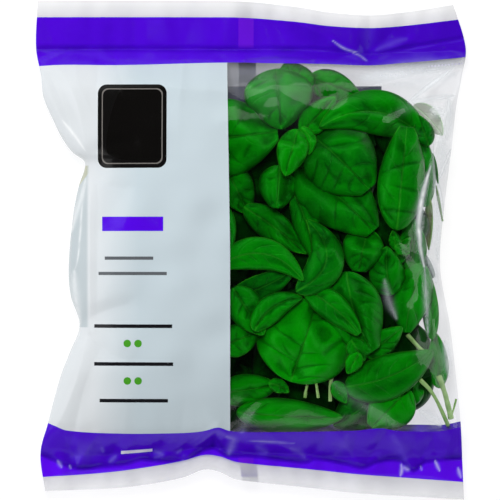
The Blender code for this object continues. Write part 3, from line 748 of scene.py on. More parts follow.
def film_material():
    """Clear film with its print: two bands, a pale panel, a dark block on the back, plain marks; with
    painted highlights along its folds, painted shade in them and a painted shadow on the back film.
    """
    shader = Shader("printed_film")
    uv = shader.add("ShaderNodeUVMap")
    uv.uv_map = "film"
    parts = shader.add("ShaderNodeSeparateXYZ", Vector=shader.wire(uv, "UV"))
    lap = shader.wire(parts, "X") * LAP
    along = (shader.wire(parts, "Y") - 0.5) * (2 * HALF_LENGTH)

    on_front = lap < FRONT_SPAN
    on_back = 1.0 - on_front
    front_bands = shader.either(shader.between(along, *TOP_BAND), shader.between(along, *BOTTOM_BAND))
    back_bands = shader.either(shader.between(along, *BACK_TOP_BAND),
                               shader.between(along, *BACK_BOTTOM_BAND))
    bands = shader.either(front_bands * on_front, back_bands * on_back)
    body = shader.between(along, BOTTOM_BAND[0], TOP_BAND[1])
    seals = 1.0 - body
    lean = shader.math("MAXIMUM", along, 0.0) * PANEL_LEAN
    round_left = shader.either(lap + lean < front_lap(PANEL_EDGE), lap > back_lap(BACK_PANEL_EDGE))
    block = (shader.between(lap, back_lap(BLOCK_ACROSS[1]), back_lap(BLOCK_ACROSS[0]))
             * shader.between(along, *BLOCK_ALONG))
    # painted shadow on the back film: grey beside the fin seal, fading out to the right, and towards the
    # top band
    back_shadow = shader.range(lap, back_lap(BACK_SHADOW_ACROSS[1]), back_lap(BACK_SHADOW_ACROSS[0]), 0.0, BACK_SHADOW_COVER)
    back_shadow = shader.either(back_shadow, shader.range(along, *BACK_TOP_SHADOW, 0.0, BACK_TOP_SHADOW_COVER)) * on_back * body

    worn = shader.noise(90, 3)
    colour = panel_colour(shader, lap, along)
    colour = shader.mix(back_shadow > round_left * 2.0, colour, BACK_SHADOW_GREY)
    colour = shader.mix(block, colour, BACK_BLOCK)
    colour = marked(shader, lap, along, colour)
    colour = shader.mix(bands, colour, band_colour(shader, lap, along, worn))
    colour = shader.mix(box_mask(shader, lap, along, WEIGHT_RULE), colour, WHITE_INK)
    margin = shader.range(abs(along), *MARGIN_ALONG)
    milk = shader.mix(along < 0.0, MILK, LOW_MILK)
    colour = shader.mix(seals, colour, shader.mix(margin, MILK_INNER, milk))
    cut = box_mask(shader, lap, along, CUT_LINE) * ((lap / CUT_DASH).fraction() < 0.5)
    colour = shader.mix(cut, colour, CUT_INK)

    crinkle = shader.noise(220, 3)
    normal = shader.bump(crinkle + shader.noise(1400, 2) * 0.12, 0.0003, 0.17)
    haze = shader.range(shader.noise(38, 1), 0.42, 0.58)
    clear = shader.add("ShaderNodeBsdfTransparent", Color=shader.mix(haze, HAZY_FILM, CLEAR_FILM))
    gloss = shader.add("ShaderNodeBsdfGlossy", Color=WHITE, Roughness=0.05, Normal=normal)
    facing = shader.wire(shader.add("ShaderNodeLayerWeight", Blend=0.5, Normal=normal), "Facing")
    gleam = facing**4.0 * EDGE_GLEAM + FACE_GLEAM
    glossy = shader.blend(gleam, shader.wire(clear), shader.wire(gloss))

    # painted highlights: the glint streaks turn the film white and opaque
    stress = shader.attribute("stress") * shader.range(crinkle, 0.3, 0.6, 0.7, 1.0)
    shader.fill(shader.surface, Base_Color=shader.mix(stress, colour, GLINT_WHITE), Normal=normal,
                Roughness=shader.range(worn, 0.3, 0.7, 0.10, 0.17), Specular_IOR_Level=0.08)
    milky = seals * (margin * (shader.range(along, -1.0, 1.0, *RIM_COVER) - MILK_COVER) + MILK_COVER)
    printed = shader.either(body * round_left, bands, block)
    cover = shader.math("ADD", printed * INK_COVER, milky, clamp=True)
    cover = shader.either(cover, stress, back_shadow, cut * 0.8)
    shader.put(shader.output, "Surface", shader.blend(cover, glossy, shader.wire(shader.surface)))
    return shader.material


def make_film(name, is_front, columns, finish):
    """The front or the back film, from side line to side line, with its outer face outwards."""
    spread = np.linspace(-1, 1, columns)
    across = 0.5 * spread + 0.5 * np.sin(math.pi / 2 * spread)
    rows = np.linspace(-HALF_LENGTH, HALF_LENGTH, FILM_ROWS)
    u, v = np.meshgrid(across if is_front else across[::-1], rows)
    x, y = plan_point(u, v)
    height = film_height(u, v, x, y, is_front)
    seam = np.abs(u) == 1
    height[seam] = (side_line(v) + seal_relief(x, y, v))[seam]
    mesh = grid_mesh(name, np.stack((x, y, height), axis=-1).reshape(-1, 3), FILM_ROWS, columns)
    mesh.materials.append(finish)
    sealed, shade = seal_masks(x, y)
    # painted highlights along the folds, and painted shade in the deep ones
    stress = streak_cover(PAINTED_GLINTS if is_front else [], x, y)
    shade = np.maximum(shade, streak_cover(PAINTED_FOLD_SHADE if is_front else [], x, y))
    for attribute, values in (("stress", stress), ("sealed", sealed), ("shade", shade)):
        add_attribute(mesh, attribute, values)
    shift = print_shift(x, v)
    if not is_front:
        shift = shift * ease(np.abs(u), (BACK_SHIFT_FROM, 1.0))
    lap = front_lap(x) if is_front else back_lap(x)
    print_place = np.stack((lap / LAP, (v - shift) / (2 * HALF_LENGTH) + 0.5), axis=-1).reshape(-1, 2)
    corners = np.array([point for face in mesh.polygons for point in face.vertices])
    layer = mesh.uv_layers.new(name="film")
    layer.data.foreach_set("uv", print_place[corners].astype(np.float32).ravel())
    film = new_object(name + "_fine", mesh)
    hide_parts(name)
    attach(film, "root")


def make_fin(finish):
    """The fin seal, a strip folded flat under the back film, with crimps across it."""
    v, u = np.meshgrid(np.linspace(-HALF_LENGTH, HALF_LENGTH, FILM_ROWS),
                       np.linspace(FIN_LEFT, FIN_RIGHT, FIN_COLUMNS), indexing="ij")
    x, y = plan_point(u, v)
    channel = FIN_RECESS * np.clip(5 * fullness(v), 0, 1)
    height = film_height(u, v, x, y, False) - channel * FIN_SINK - FIN_LIFT
    height += FIN_CRIMP * np.sin(2 * math.pi * v / CRIMP_PITCH)
    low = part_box("back_fin_seal")[0]
    points = np.stack((x, y, np.maximum(height, low.z / MM + FIN_LIFT)), axis=-1)
    mesh = grid_mesh("fin_seal", points.reshape(-1, 3), FILM_ROWS, FIN_COLUMNS)
    mesh.materials.append(finish)
    fin = new_object("fin_seal", mesh)
    thicken(fin, FIN_THICKNESS, -1)
    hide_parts("back_fin_seal")
    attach(fin, "root")


def fin_material():
    """Two layers of film pressed together: grey and translucent, purple where the bands cross it."""
    shader = Shader("fin_film")
    along = shader.wire(shader.add("ShaderNodeSeparateXYZ", Vector=shader.place()), "Y")
    crimp = shader.noise(300, 3)
    colour = shader.mix(crimp, DARK_FIN, PALE_FIN)
    for low, high, outside in ((*FIN_BODY, SINGLE_PURPLE), (BOTTOM_BAND[0], TOP_BAND[1], MILK)):
        colour = shader.mix(shader.between(along, low * MM, high * MM), outside, colour)
    shader.fill(shader.surface, Base_Color=colour, Normal=shader.bump(crimp, 0.0004, 0.5),
                Roughness=shader.range(crimp, 0.3, 0.7, 0.25, 0.4))
    return shader.material


# ---- the leaves ----
LEAF_SEED = 100             # seeds of the leaves' relief
RESTING_SEED = 700
INNER_SEED = 2000
INNER_LAYOUT_SEED = 31
INNER_ALONG = (-82, 74)     # where the inner leaves' grid of middles reaches
INNER_ACROSS = (-12, 84)
INNER_STEP = 24
INNER_SHIFT = 4             # how far each middle is moved at random
INNER_HEIGHT = (20, 29)
INNER_REACH = (16, 21)      # half lengths
INNER_WIDTH = (22, 29)
INNER_BOW = 3
INNER_TILT = 0.1            # slope along and across
INNER_CUP = 2.5             # how far their rims and ends drop
CAD_ROWS = 8                # quads of a CAD leaf's grid, along and across
CAD_COLUMNS = 4
CAD_END_WIDTH = 1.6         # width of a CAD leaf at its base and tip
END_WIDTH = 0.7             # and of a fine one
FINE_CELL = 0.6             # grid spacing of the leaves that lie in sight
COARSE_CELL = 1.3           # and of those that show only in the gaps or behind the print
DEEP_LEAVES = ("floor", "inner", "panel_top", "panel_middle", "panel_bottom")
LEAF_THICKNESS = 0.38
LEAF_BELLY = 0.78           # below 1, a leaf is widest nearer to its base
LEAF_ROUND = 0.7            # below 1, its outline is fuller than a sine wave
RAY_HIGH = 0.2              # above and below everything in the bag, in metres
RAY_LOW = -0.1
HALFWAY_UP = 0.03
INSET = 0.05                # share by which a CAD leaf's rim is pulled in before it is measured

# base and tip as seen from the front; bow is the midrib's sideways bow, to the left of the way
# from base to tip
Leaf = namedtuple("Leaf", "name base tip bow width")
LEAVES = [Leaf(*row) for row in (
    ("tall_right", (81, 11), (87, 73), 0, 26), ("arched_top", (95, 64), (38, 68), -11, 25),
    ("broad_top", (14, 101), (17, 67), 0, 38), ("cupped_small", (26, 67), (19, 41), 0, 17),
    ("flap_small", (28, 68), (32, 53), 3, 7), ("cupped_upper", (28, 65), (47, 85), 0, 16),
    ("diamond", (34, 64), (67, 32), 1, 42), ("panel_edge", (-34, 60), (17, 66), 0, 43),
    ("heart_centre", (25, 48), (70, 8), 2, 37), ("cup_left", (16, 47), (14, 22), 0, 22),
    ("crescent", (-18, -9), (29, -17), 11, 18), ("hooked", (25, -23), (31, 17), -14, 20),
    ("wing_centre", (29, -21), (61, -48), 2.5, 16),
    ("wing_right", (53, -12), (69, -59), -3, 32),
    ("folded_corner", (2, -45), (28.5, -26.5), 5, 15),
    ("folded_left", (-10, -21), (7, -47), 0, 20), ("round_large", (22, -73), (38, -26), 0, 52),
    ("rolled_upper", (24, 31), (35, -6), 2, 15), ("rolled_left", (-4, 24), (31, -2), 1, 17),
    ("cup_centre", (66, 12), (60, -14), -1, 23), ("curled_right", (79, -25), (76, 2), 2, 20),
    ("lens", (52, -76), (101, -56), -4, 25), ("behind_lens", (64, -59), (84, -43), 0, 14),
    ("young_right", (96, -8), (86, -48), -2, 22), ("bud_upper", (81, 0), (79, 11), 0, 7),
    ("bud_lower", (82, -8), (89, 7), 1, 8), ("pale_right", (90, -12), (90, 18), 0, 16),
    ("rolled_corner", (99, 58), (93, 75), 0, 11), ("edge_right", (97, 24), (94, 68), 0, 14),
    ("bottom_long", (-8, -90), (51, -93), -1, 20),
    ("bottom_right", (88, -77), (66, -100), 0, 26),
    ("bottom_left", (-18, -80), (15, -75), 0, 18), ("panel_lower", (-18, -54), (5, -45), 0, 18),
    ("back_top", (27, 84), (20, 105), 0, 24), ("back_upper", (32, 96), (61, 86), 0, 17),
    ("dark_left", (-14, 46), (-1, 20), 0, 20), ("underside", (-13, -27), (25, -10), -2, 15),
    ("dark_bottom", (74, -80), (46, -98), 0, 24), ("rim_right", (101, -50), (99, -12), 0, 9),
    ("low_right", (105, -77), (103, -46), 0, 12), ("small_bottom", (92, -73), (88, -88), 0, 12),
    ("floor_top", (6, 84), (62, 58), 2, 42), ("floor_right", (86, 70), (66, 14), 2, 40),
    ("floor_centre", (4, 50), (64, 22), -2, 48), ("floor_middle", (90, 2), (36, -32), 2, 46),
    ("floor_left", (-6, 16), (18, -46), 2, 44), ("floor_lower", (22, -60), (86, -62), 2, 46),
    ("floor_bottom", (-10, -62), (46, -94), 2, 40), ("panel_top", (-36, 94), (-80, 54), 2, 48),
    ("panel_middle", (-30, 28), (-76, -12), 2, 48),
    ("panel_bottom", (-32, -36), (-80, -80), 2, 48),
)]

# small leaves that only show in the gaps, each with the greatest depth below the front film
Resting = namedtuple("Resting", "leaf depth")
RESTING_LEAVES = [
    Resting(Leaf("thumb_behind", (55.5, -50), (63, -61.5), 0, 12), 7),
    Resting(Leaf("thumb", (60, -57), (53.5, -68.5), 0, 9.5), 4.5),
    Resting(Leaf("curl_bottom", (10, -74), (21, -79), 1, 8), 6),
    Resting(Leaf("chip_bottom", (46, -73), (53, -85), 0, 9), 6),
    Resting(Leaf("edge_left", (-17, 26), (-12, -2), 0, 13), 6),
    Resting(Leaf("bud_middle", (80, 2), (88, -2), 0, 6), 6),
    Resting(Leaf("pale_strip", (99.2, 29), (99.4, 0), 0, 4.8), 30),
    Resting(Leaf("pale_line", (103.4, 36), (106.9, 16), 0, 1.3), 30),
    Resting(Leaf("faint_top", (91, 81), (107, 64), 1, 12), 30),
    Resting(Leaf("sliver_right", (101.5, 54), (104.6, 37), 0, 2.4), 30),
]
RESTING_GAP = 0.9           # height over what they lie on
RESTING_CUP = 0.10          # depth of their bowl, as a share of their width

# how strongly a leaf is quilted between its side veins, how deep its midrib's groove is, how wavy
# its rim is (all in millimetres), how many side veins it has on each side, and its tone: -1 is the
# darkest, 0 is deep green and 1 is bright; from -0.2 down the tone paints shade
Looks = namedtuple("Looks", "quilt groove ruffle veins tone")
PLAIN_LOOKS = Looks(1.0, 1.0, 0.6, 5, 0.45)
# leaves deep in the bag: their tone of -1 paints them in shade
DEEP_LOOKS = Looks(0.8, 1.0, 0.6, 5, -1.0)
SPECIAL_LOOKS = {name: Looks(*values) for name, values in {
    "broad_top": (0.9, 3.2, 0.6, 4, 0.55), "panel_edge": (1.2, 3.0, 0.8, 4, 0.5),
    "cupped_small": (0.6, 1.2, 0.7, 4, 0.75), "cupped_upper": (0.7, 1.4, 0.5, 4, 0.8),
    "flap_small": (0.3, 0.3, 0.3, 3, 0.9), "arched_top": (0.8, 0.8, 0.7, 6, 0.42),
    "diamond": (1.1, 1.4, 0.9, 5, 0.32), "tall_right": (1.0, 0.3, 0.6, 4, 0.4),
    "heart_centre": (1.1, 1.3, 0.7, 5, 0.45), "crescent": (0.3, 0.3, 0.3, 5, 0.6),
    "hooked": (0.5, 0.5, 0.3, 5, 0.2), "wing_centre": (0.5, 0.5, 0.4, 5, 0.5),
    "wing_right": (0.9, 0.8, 0.4, 6, 0.25), "round_large": (1.6, 2.0, 1.0, 5, 1.0),
    "lens": (0.4, 0.4, 0.2, 6, 0.3), "young_right": (0.6, 0.8, 0.4, 5, 0.65),
    "bottom_right": (0.7, 0.8, 0.4, 5, 1.1), "bottom_long": (0.8, 1.1, 0.5, 6, 0.6),
    "bottom_left": (0.8, 0.9, 0.6, 4, 0.65), "thumb": (0.4, 0.4, 0.2, 3, 0.75),
    "thumb_behind": (0.5, 0.5, 0.3, 4, 0.25), "chip_bottom": (0.4, 0.5, 0.4, 3, 0.7),
    "edge_left": (0.5, 0.5, 0.3, 4, 0.3), "pale_strip": (0.2, 0.3, 0.2, 3, 0.1),
    "pale_line": (0.1, 0.1, 0.1, 3, 0.1), "faint_top": (0.2, 0.3, 0.2, 3, 0.1),
    "rolled_corner": (0.6, 0.8, 0.4, 4, -0.2), "edge_right": (0.6, 0.8, 0.4, 4, 0.3),
    "dark_bottom": (0.6, 0.8, 0.4, 5, -0.3), "underside": (0.5, 0.6, 0.3, 4, -0.25),
    "sliver_right": (0.2, 0.3, 0.2, 3, 0.2),
}.items()}
# folds and sunken veins of single leaves, in the same form as the film's creases
LEAF_CREASES = {name: [Crease(*row) for row in rows] for name, rows in {
    "tall_right": [
        ((71.7, 42.2), (94.8, 49.0), 1, 1.5, -1.2), ((75.7, 36.6), (94.8, 31.8), 0, 1.4, -0.8),
        ((74.1, 22.3), (92.5, 20.7), 0, 1.5, -1.0), ((79, 66), (86, 71), 1, 2.2, 0.9)],
    "diamond": [
        ((36.6, 57.4), (70.1, 63.7), -2, 2.0, -1.7), ((55.8, 53.4), (65.3, 44.6), 0, 3.0, 0.9),
        ((39.8, 51.0), (49.4, 37.4), -1, 1.4, -0.9)],
    "heart_centre": [
        ((54.2, 33.4), (69.3, 13.5), 1, 1.6, -1.2), ((44, 24), (52, 12), 0, 3.0, -0.8),
        ((34, 30), (46, 18), 0, 3.0, 0.7)],
    "cup_left": [
        ((4.7, 40.6), (24.6, 42.2), -1.5, 1.6, -1.4), ((12, 36), (11, 27), 0, 1.6, -0.7),
        ((17, 36), (20, 28), 0, 1.8, -0.7)],
    "rolled_left": [((-0.1, 24.6), (11.9, 26.2), 1, 1.2, -0.7), ((3.9, 16.7), (11.1, 21.9), 1, 1.4, 0.8)],
    "rolled_upper": [((15.5, 25.0), (22.5, 29.5), 0, 1.4, -0.7)],
    "arched_top": [
        ((41.4, 69.3), (51.8, 74.1), 1, 1.8, 1.1), ((51.8, 74.1), (65.3, 67.7), 1, 1.8, -1.2),
        ((62.1, 81.3), (69.3, 74.9), 0, 2.0, -0.9), ((82.9, 73.3), (76.5, 68.5), 0, 2.4, 0.8)],
    "cupped_small": [((25, 57.5), (19.5, 45), -1, 1.5, -0.8)],
    "panel_edge": [((-1, 57.5), (-4.5, 50), 0, 1.6, -1.0), ((4, 62), (6.5, 56), 0, 2.0, 0.8)],
    "round_large": [
        ((55.5, -48.7), (41.1, -57.0), -1, 1.7, -1.5), ((54.0, -46.4), (40.0, -54.0), -1, 2.0, 0.8),
        ((16.8, -50.0), (23.8, -59.2), -1, 1.7, -1.4), ((15.5, -58.7), (21.2, -70.0), -1, 1.6, -0.9),
        ((35.1, -37.9), (45.5, -37.0), 0, 1.6, -1.1), ((37.7, -63.9), (54.0, -60.0), -2, 3.5, 0.9)],
    "wing_right": [
        ((49.8, -23.1), (59.4, -43.1), 1, 2.4, -2.2), ((62.0, -29.2), (72.4, -30.9), 1, 1.3, -0.7),
        ((63.7, -35.3), (74.2, -43.1), 1, 1.4, -0.9)],
    "folded_corner": [((14.2, -27.5), (8.5, -42.0), 0, 3.6, -1.8)],
    "folded_left": [
        ((3.8, -29.2), (4.7, -45.7), 0, 2.0, 1.2), ((-3.0, -26.0), (-8.0, -38.0), 0, 2.5, -1.0)],
    "hooked": [((35, 3), (39, -8), 0, 1.8, -0.7), ((30, -1), (32, -14), 0, 1.8, 0.6)],
    "bottom_left": [((-2, -74.5), (4, -80.5), 0, 1.8, -1.0)],
}.items()}
FILM_ROOM = 0.35            # from the film down to the middle of a leaf that touches it
FILM_PRESS = 0.35           # how gently the leaf flattens there
# leaves that lie deeper, because another one crosses over them
LOWER_ROOM = {"arched_top": 2.9, "edge_right": 3.2, "rolled_corner": 3.2}
# a leaf that bends over or under the one beside it: from no shift to all of it at shares of the
# way from base to tip, and the shift of its height
BENDS = {"tall_right": (0.70, 0.90, 6.0), "arched_top": (0.36, 0.18, -4.0)}
# leaves whose tip is tucked under, with the share of the length where it folds
TUCKED_TIPS = {"tall_right": 0.93, "wing_right": 0.94, "heart_centre": 0.95,
               "diamond": 0.955, "cup_left": 0.95, "cup_centre": 0.93,
               "panel_edge": 0.96, "young_right": 0.95, "round_large": 0.97,
               "wing_centre": 0.96, "bottom_right": 0.95}
TUCK_DEPTH = 1.6            # how far below the rest the tucked tip lies
TUCK_RUN = 1.2              # and over what length it gets there
VEIN_LEAN = 0.24            # how far a side vein runs towards the tip, as a share of the leaf's length
VEIN_STAGGER = 0.42         # and how far the two sides' veins are out of step, in veins
VEIN_WANDER = 0.15          # how unevenly they are spaced
RIM_SHARE = 0.45            # the outer share of a leaf's half width that curls down
RIM_DROP = 0.085            # how far it does, as a share of the leaf's width
HOLLOW_PASSES = 12          # how widely a leaf's surface is averaged to find its hollows and ridges, for the painted shade and light
HOLLOW_DEPTH = 0.15         # the depth at which the painted shade of a hollow is darkest
LUMP = 0.022                # height of a leaf's irregular lumps, as a share of its width


def half_width(leaf, s):
    return leaf.width / 2 * np.abs(np.sin(math.pi * s**LEAF_BELLY)) ** LEAF_ROUND


def leaf_plan(leaf, s, v, end_width):
    """Where points of a leaf lie as seen from the front: s runs from base to tip, v from the left
    rim (1) to the right one (-1)."""
    base, tip = np.array(leaf.base, float), np.array(leaf.tip, float)
    run = tip - base
    left = np.array((-run[1], run[0])) / np.hypot(*run)
    control = (base + tip) / 2 + 2 * leaf.bow * left
    s, v = s[..., None], v[..., None]
    spine = (1 - s) ** 2 * base + 2 * s * (1 - s) * control + s**2 * tip
    along = 2 * (1 - s) * (control - base) + 2 * s * (tip - control)
    normal = np.stack((-along[..., 1], along[..., 0]), axis=-1)
    normal = normal / np.linalg.norm(normal, axis=-1, keepdims=True)
    half = np.maximum(half_width(leaf, s), end_width / 2)
    return spine + normal * v * half


def coarse_grid():
    """The shares of a leaf's length and half width at the points of a CAD leaf's grid."""
    return np.meshgrid(np.linspace(0, 1, CAD_ROWS + 1), np.linspace(1, -1, CAD_COLUMNS + 1),
                       indexing="ij")


def measured_heights(leaf, tree):
    """Heights of the CAD leaf's middle surface at the points of its own grid."""
    s, v = coarse_grid()
    points = leaf_plan(leaf, s, v, CAD_END_WIDTH)
    inner = points.copy()
    inner[0] += INSET * (points[1] - points[0])
    inner[-1] += INSET * (points[-2] - points[-1])
    inner += INSET * (inner[:, CAD_COLUMNS // 2][:, None] - inner)
    heights = np.zeros(s.shape)
    for place in np.ndindex(*s.shape):
        x, y = inner[place] * MM
        over = tree.ray_cast((x, y, RAY_HIGH), (0, 0, -1))[0]
        under = tree.ray_cast((x, y, RAY_LOW), (0, 0, 1))[0]
        if over is None or under is None:
            near = tree.find_nearest((x, y, HALFWAY_UP))[0]
            heights[place] = near.z / MM
        else:
            heights[place] = (over.z + under.z) / 2 / MM
    return heights


def spread_matrix(knots, at):
    """The linear map from values at the knots to values on the smooth curve through them."""
    return np.column_stack([through([(k, float(i == j)) for i, k in enumerate(knots)], at)
                            for j in range(len(knots))])


def inside_bag(x, y, height, room):
    """The heights, pressed gently between the two films where they would reach through them."""
    across = np.clip(share_across(x, y), -1, 1)
    low = film_height(across, y, x, y, False) + FILM_ROOM
    height = low + FILM_PRESS * np.logaddexp(0, (height - low) / FILM_PRESS)
    high = film_height(across, y, x, y, True) - room
    return high - FILM_PRESS * np.logaddexp(0, (high - height) / FILM_PRESS)


def leaf_detail(leaf, looks, s, v, seed):
    """The fine relief of a leaf's face, and the fields that its material draws veins and rim from."""
    reach = np.abs(v)
    half = half_width(leaf, np.clip(s, 0.02, 0.98))
    side = np.where(v > 0, 0.0, VEIN_STAGGER)
    phase = looks.veins * (s - VEIN_LEAN * reach**1.25) + side
    phase = phase + VEIN_WANDER * waves(s * 60, v * 20, 40, seed + 1)
    frac = phase - np.floor(phase)
    puff = np.sin(math.pi * frac) ** 0.55 * np.sin(math.pi * np.clip(reach, 0, 1)) ** 0.5
    ends = smooth_step(s / 0.15) * smooth_step((1 - s) / 0.2)
    strength = smooth_step(0.45 + 0.55 * waves(s * 40, v * 14, 26, seed + 4))
    relief = looks.quilt * (puff - 1) * ends * strength
    relief -= looks.groove * np.exp(-(reach * half / (0.7 + 0.8 * looks.groove)) ** 1.2) * ends
    relief -= RIM_DROP * leaf.width * share(reach, (1 - RIM_SHARE, 1)) ** 2.5 * ends
    relief += looks.ruffle * reach**3 * waves(s * 50, v * 4, 16, seed + 2) * ends
    relief += LUMP * leaf.width * waves(s * 1.6, v * 0.8, 0.8, seed + 3) * ends
    fields = {
        "phase": phase,
        "spacing": np.full(s.shape, leaf.width * 1.6 / looks.veins),
        "from_midrib": reach * half / (1.3 - 0.8 * s),
        "from_rim": (1 - reach) * half,
        "spread": ends * smooth_step((0.97 - reach) / 0.3) * (0.35 + 0.65 * strength),
        "tone": np.full(s.shape, looks.tone),
    }
    return relief, fields


def raised(height):
    """How far each point of a fine leaf stands above its surroundings, from -1 to 1."""
    level = height
    for _ in range(HOLLOW_PASSES):
        padded = np.pad(level, 1, mode="edge")
        level = (padded[:-2, 1:-1] + padded[2:, 1:-1] + padded[1:-1, :-2] + padded[1:-1, 2:]) / 4
    return np.clip((height - level) / HOLLOW_DEPTH, -1, 1)


def make_leaf(leaf, tree, seed, finishes):
    """A fine leaf over the CAD one."""
    name = "leaf_" + leaf.name
    made = leaf_object(leaf, measured_heights(leaf, tree), name + "_fine", seed, finishes)
    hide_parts(name)


def make_resting_leaf(resting, trees, seed, finishes):
    """A small visual-only leaf on top of the ones below its midrib."""
    leaf = resting.leaf
    stations = []
    for at in (0.1, 0.5, 0.9):
        x, y = leaf_plan(leaf, np.array(at), np.array(0.0), END_WIDTH)
        hits = [tree.ray_cast((x * MM, y * MM, RAY_HIGH), (0, 0, -1))[0] for tree in trees]
        top = max([hit.z for hit in hits if hit], default=cad_low.z) / MM + RESTING_GAP
        x, y = np.array([x]), np.array([y])
        film = film_height(share_across(x, y), y, x, y, True)[0]
        stations.append((at, max(top, film - resting.depth)))
    s, v = coarse_grid()
    coarse = through(stations, s) - RESTING_CUP * leaf.width * v**2
    leaf_object(leaf, coarse, "leaf_" + leaf.name, seed, finishes)


def make_flat_leaf(leaf, height, tilt, seed, finishes):
    """A visual-only leaf with a plain cupped shape at a height, tilted along and across."""
    s, v = coarse_grid()
    length = np.hypot(*(np.array(leaf.tip) - leaf.base))
    coarse = (height + tilt[0] * (s - 0.5) * length + tilt[1] * v * leaf.width / 2
              - INNER_CUP * v**2 - INNER_CUP * (2 * s - 1) ** 2)
    leaf_object(leaf, coarse, "leaf_" + leaf.name, seed, finishes)


def leaf_object(leaf, coarse, name, seed, finishes):
    """A leaf's fine mesh, from the heights of its coarse grid."""
    deep = leaf.name.startswith(DEEP_LEAVES)
    looks = DEEP_LOOKS if deep else SPECIAL_LOOKS.get(leaf.name, PLAIN_LOOKS)
    length = np.hypot(leaf.tip[0] - leaf.base[0], leaf.tip[1] - leaf.base[1]) + 2 * abs(leaf.bow)
    cell = COARSE_CELL if deep else FINE_CELL
    rows, columns = round(length / cell) + 1, 2 * round(leaf.width / cell / 2) + 1
    along, across = np.linspace(0, 1, rows), np.linspace(1, -1, columns)
    s, v = np.meshgrid(along, across, indexing="ij")
    plan = leaf_plan(leaf, s, v, END_WIDTH)
    knots_s, knots_v = np.linspace(0, 1, CAD_ROWS + 1), np.linspace(-1, 1, CAD_COLUMNS + 1)
    height = spread_matrix(knots_s, along) @ coarse @ spread_matrix(knots_v, -across).T
    relief, fields = leaf_detail(leaf, looks, s, v, seed)
    relief += crease_relief(LEAF_CREASES.get(leaf.name, []), plan[..., 0], plan[..., 1])
    start, end, shift = BENDS.get(leaf.name, (0, 1, 0))
    height = height + shift * smooth_step(share(s, (start, end)))
    if leaf.name in TUCKED_TIPS:
        fold = leaf_plan(leaf, np.array([TUCKED_TIPS[leaf.name], 1.0]), np.zeros(2), END_WIDTH)
        outward = (fold[1] - fold[0]) / np.hypot(*(fold[1] - fold[0]))
        beyond = np.maximum((plan - fold[0]) @ outward, 0)
        plan = plan - 2 * beyond[..., None] * outward
        height = height - TUCK_DEPTH * smooth_step(beyond / TUCK_RUN)
    room = LOWER_ROOM.get(leaf.name, FILM_ROOM)
    height = inside_bag(plan[..., 0], plan[..., 1], height + relief, room)
    fields["raised"] = raised(height)
    points = np.concatenate((plan, height[..., None]), axis=-1)
    mesh = grid_mesh(name, points.reshape(-1, 3), rows, columns)
    for finish in finishes:
        mesh.materials.append(finish)
    for field, values in fields.items():
        add_attribute(mesh, field, values)
    made = new_object(name, mesh)
    thicken(made, LEAF_THICKNESS, 0, 1)
    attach(made, "root")
    return made


def make_inner_leaves(finishes):
    """Loose leaves in the middle of the bag, seen through the gaps between the upper ones."""
    rng = np.random.default_rng(INNER_LAYOUT_SEED)
    number = 0
    for row_y in np.arange(INNER_ALONG[0], INNER_ALONG[1] + 1, INNER_STEP):
        for column_x in np.arange(INNER_ACROSS[0], INNER_ACROSS[1] + 1, INNER_STEP):
            number += 1
            centre = np.array((column_x, row_y)) + rng.uniform(-INNER_SHIFT, INNER_SHIFT, 2)
            turn = rng.uniform(0, 2 * math.pi)
            reach = rng.uniform(*INNER_REACH) * np.array((math.cos(turn), math.sin(turn)))
            leaf = Leaf(f"inner_{number:02d}", centre - reach, centre + reach,
                        rng.uniform(-INNER_BOW, INNER_BOW), rng.uniform(*INNER_WIDTH))
            tilt = rng.uniform(-INNER_TILT, INNER_TILT, 2)
            make_flat_leaf(leaf, rng.uniform(*INNER_HEIGHT), tilt, INNER_SEED + 10 * number, finishes)


# greens of a leaf as linear light, from the ground colours to what is drawn over them
COOL_GREEN = (0.0002, 0.080, 0.0032)
DEEP_GREEN = (0.0001, 0.082, 0.0008)
BRIGHT_GREEN = (0.0010, 0.275, 0.0006)
NET_GREEN = (0.010, 0.34, 0.008)
VEIN_GREEN = (0.020, 0.36, 0.012)
MIDRIB_GREEN = (0.030, 0.36, 0.014)
RIM_GREEN = (0.050, 0.42, 0.012)
# painted shade for a leaf's hollows and painted light for its ridges
HOLLOW_SHADE_GREEN = (0.0001, 0.030, 0.0006)
RIDGE_LIGHT_GREEN = (0.0040, 0.330, 0.0040)
SHADED_GREEN = (0.0002, 0.020, 0.0006)
LEAF_SHINE = (0.03, 1.0, 0.06, 1)          # the tint of a leaf's gloss
UNDERSIDE_LIFT = (0.03, 0.03, 0.03)        # what is added to the greens of undersides,
PALE_LIGHT_LIFT = (0.20, 0.13, 0.09)             # of leaves that lie against the film at the right side (painted light, washing them out),
FAINT_LIGHT_LIFT = (0.64, 0.58, 0.58)            # and of the leaf in the top right corner (painted light as well)


def lifted(green, lift):
    """A paler green, as a colour with its alpha."""
    return tuple(np.add(green, lift)) + (1,)


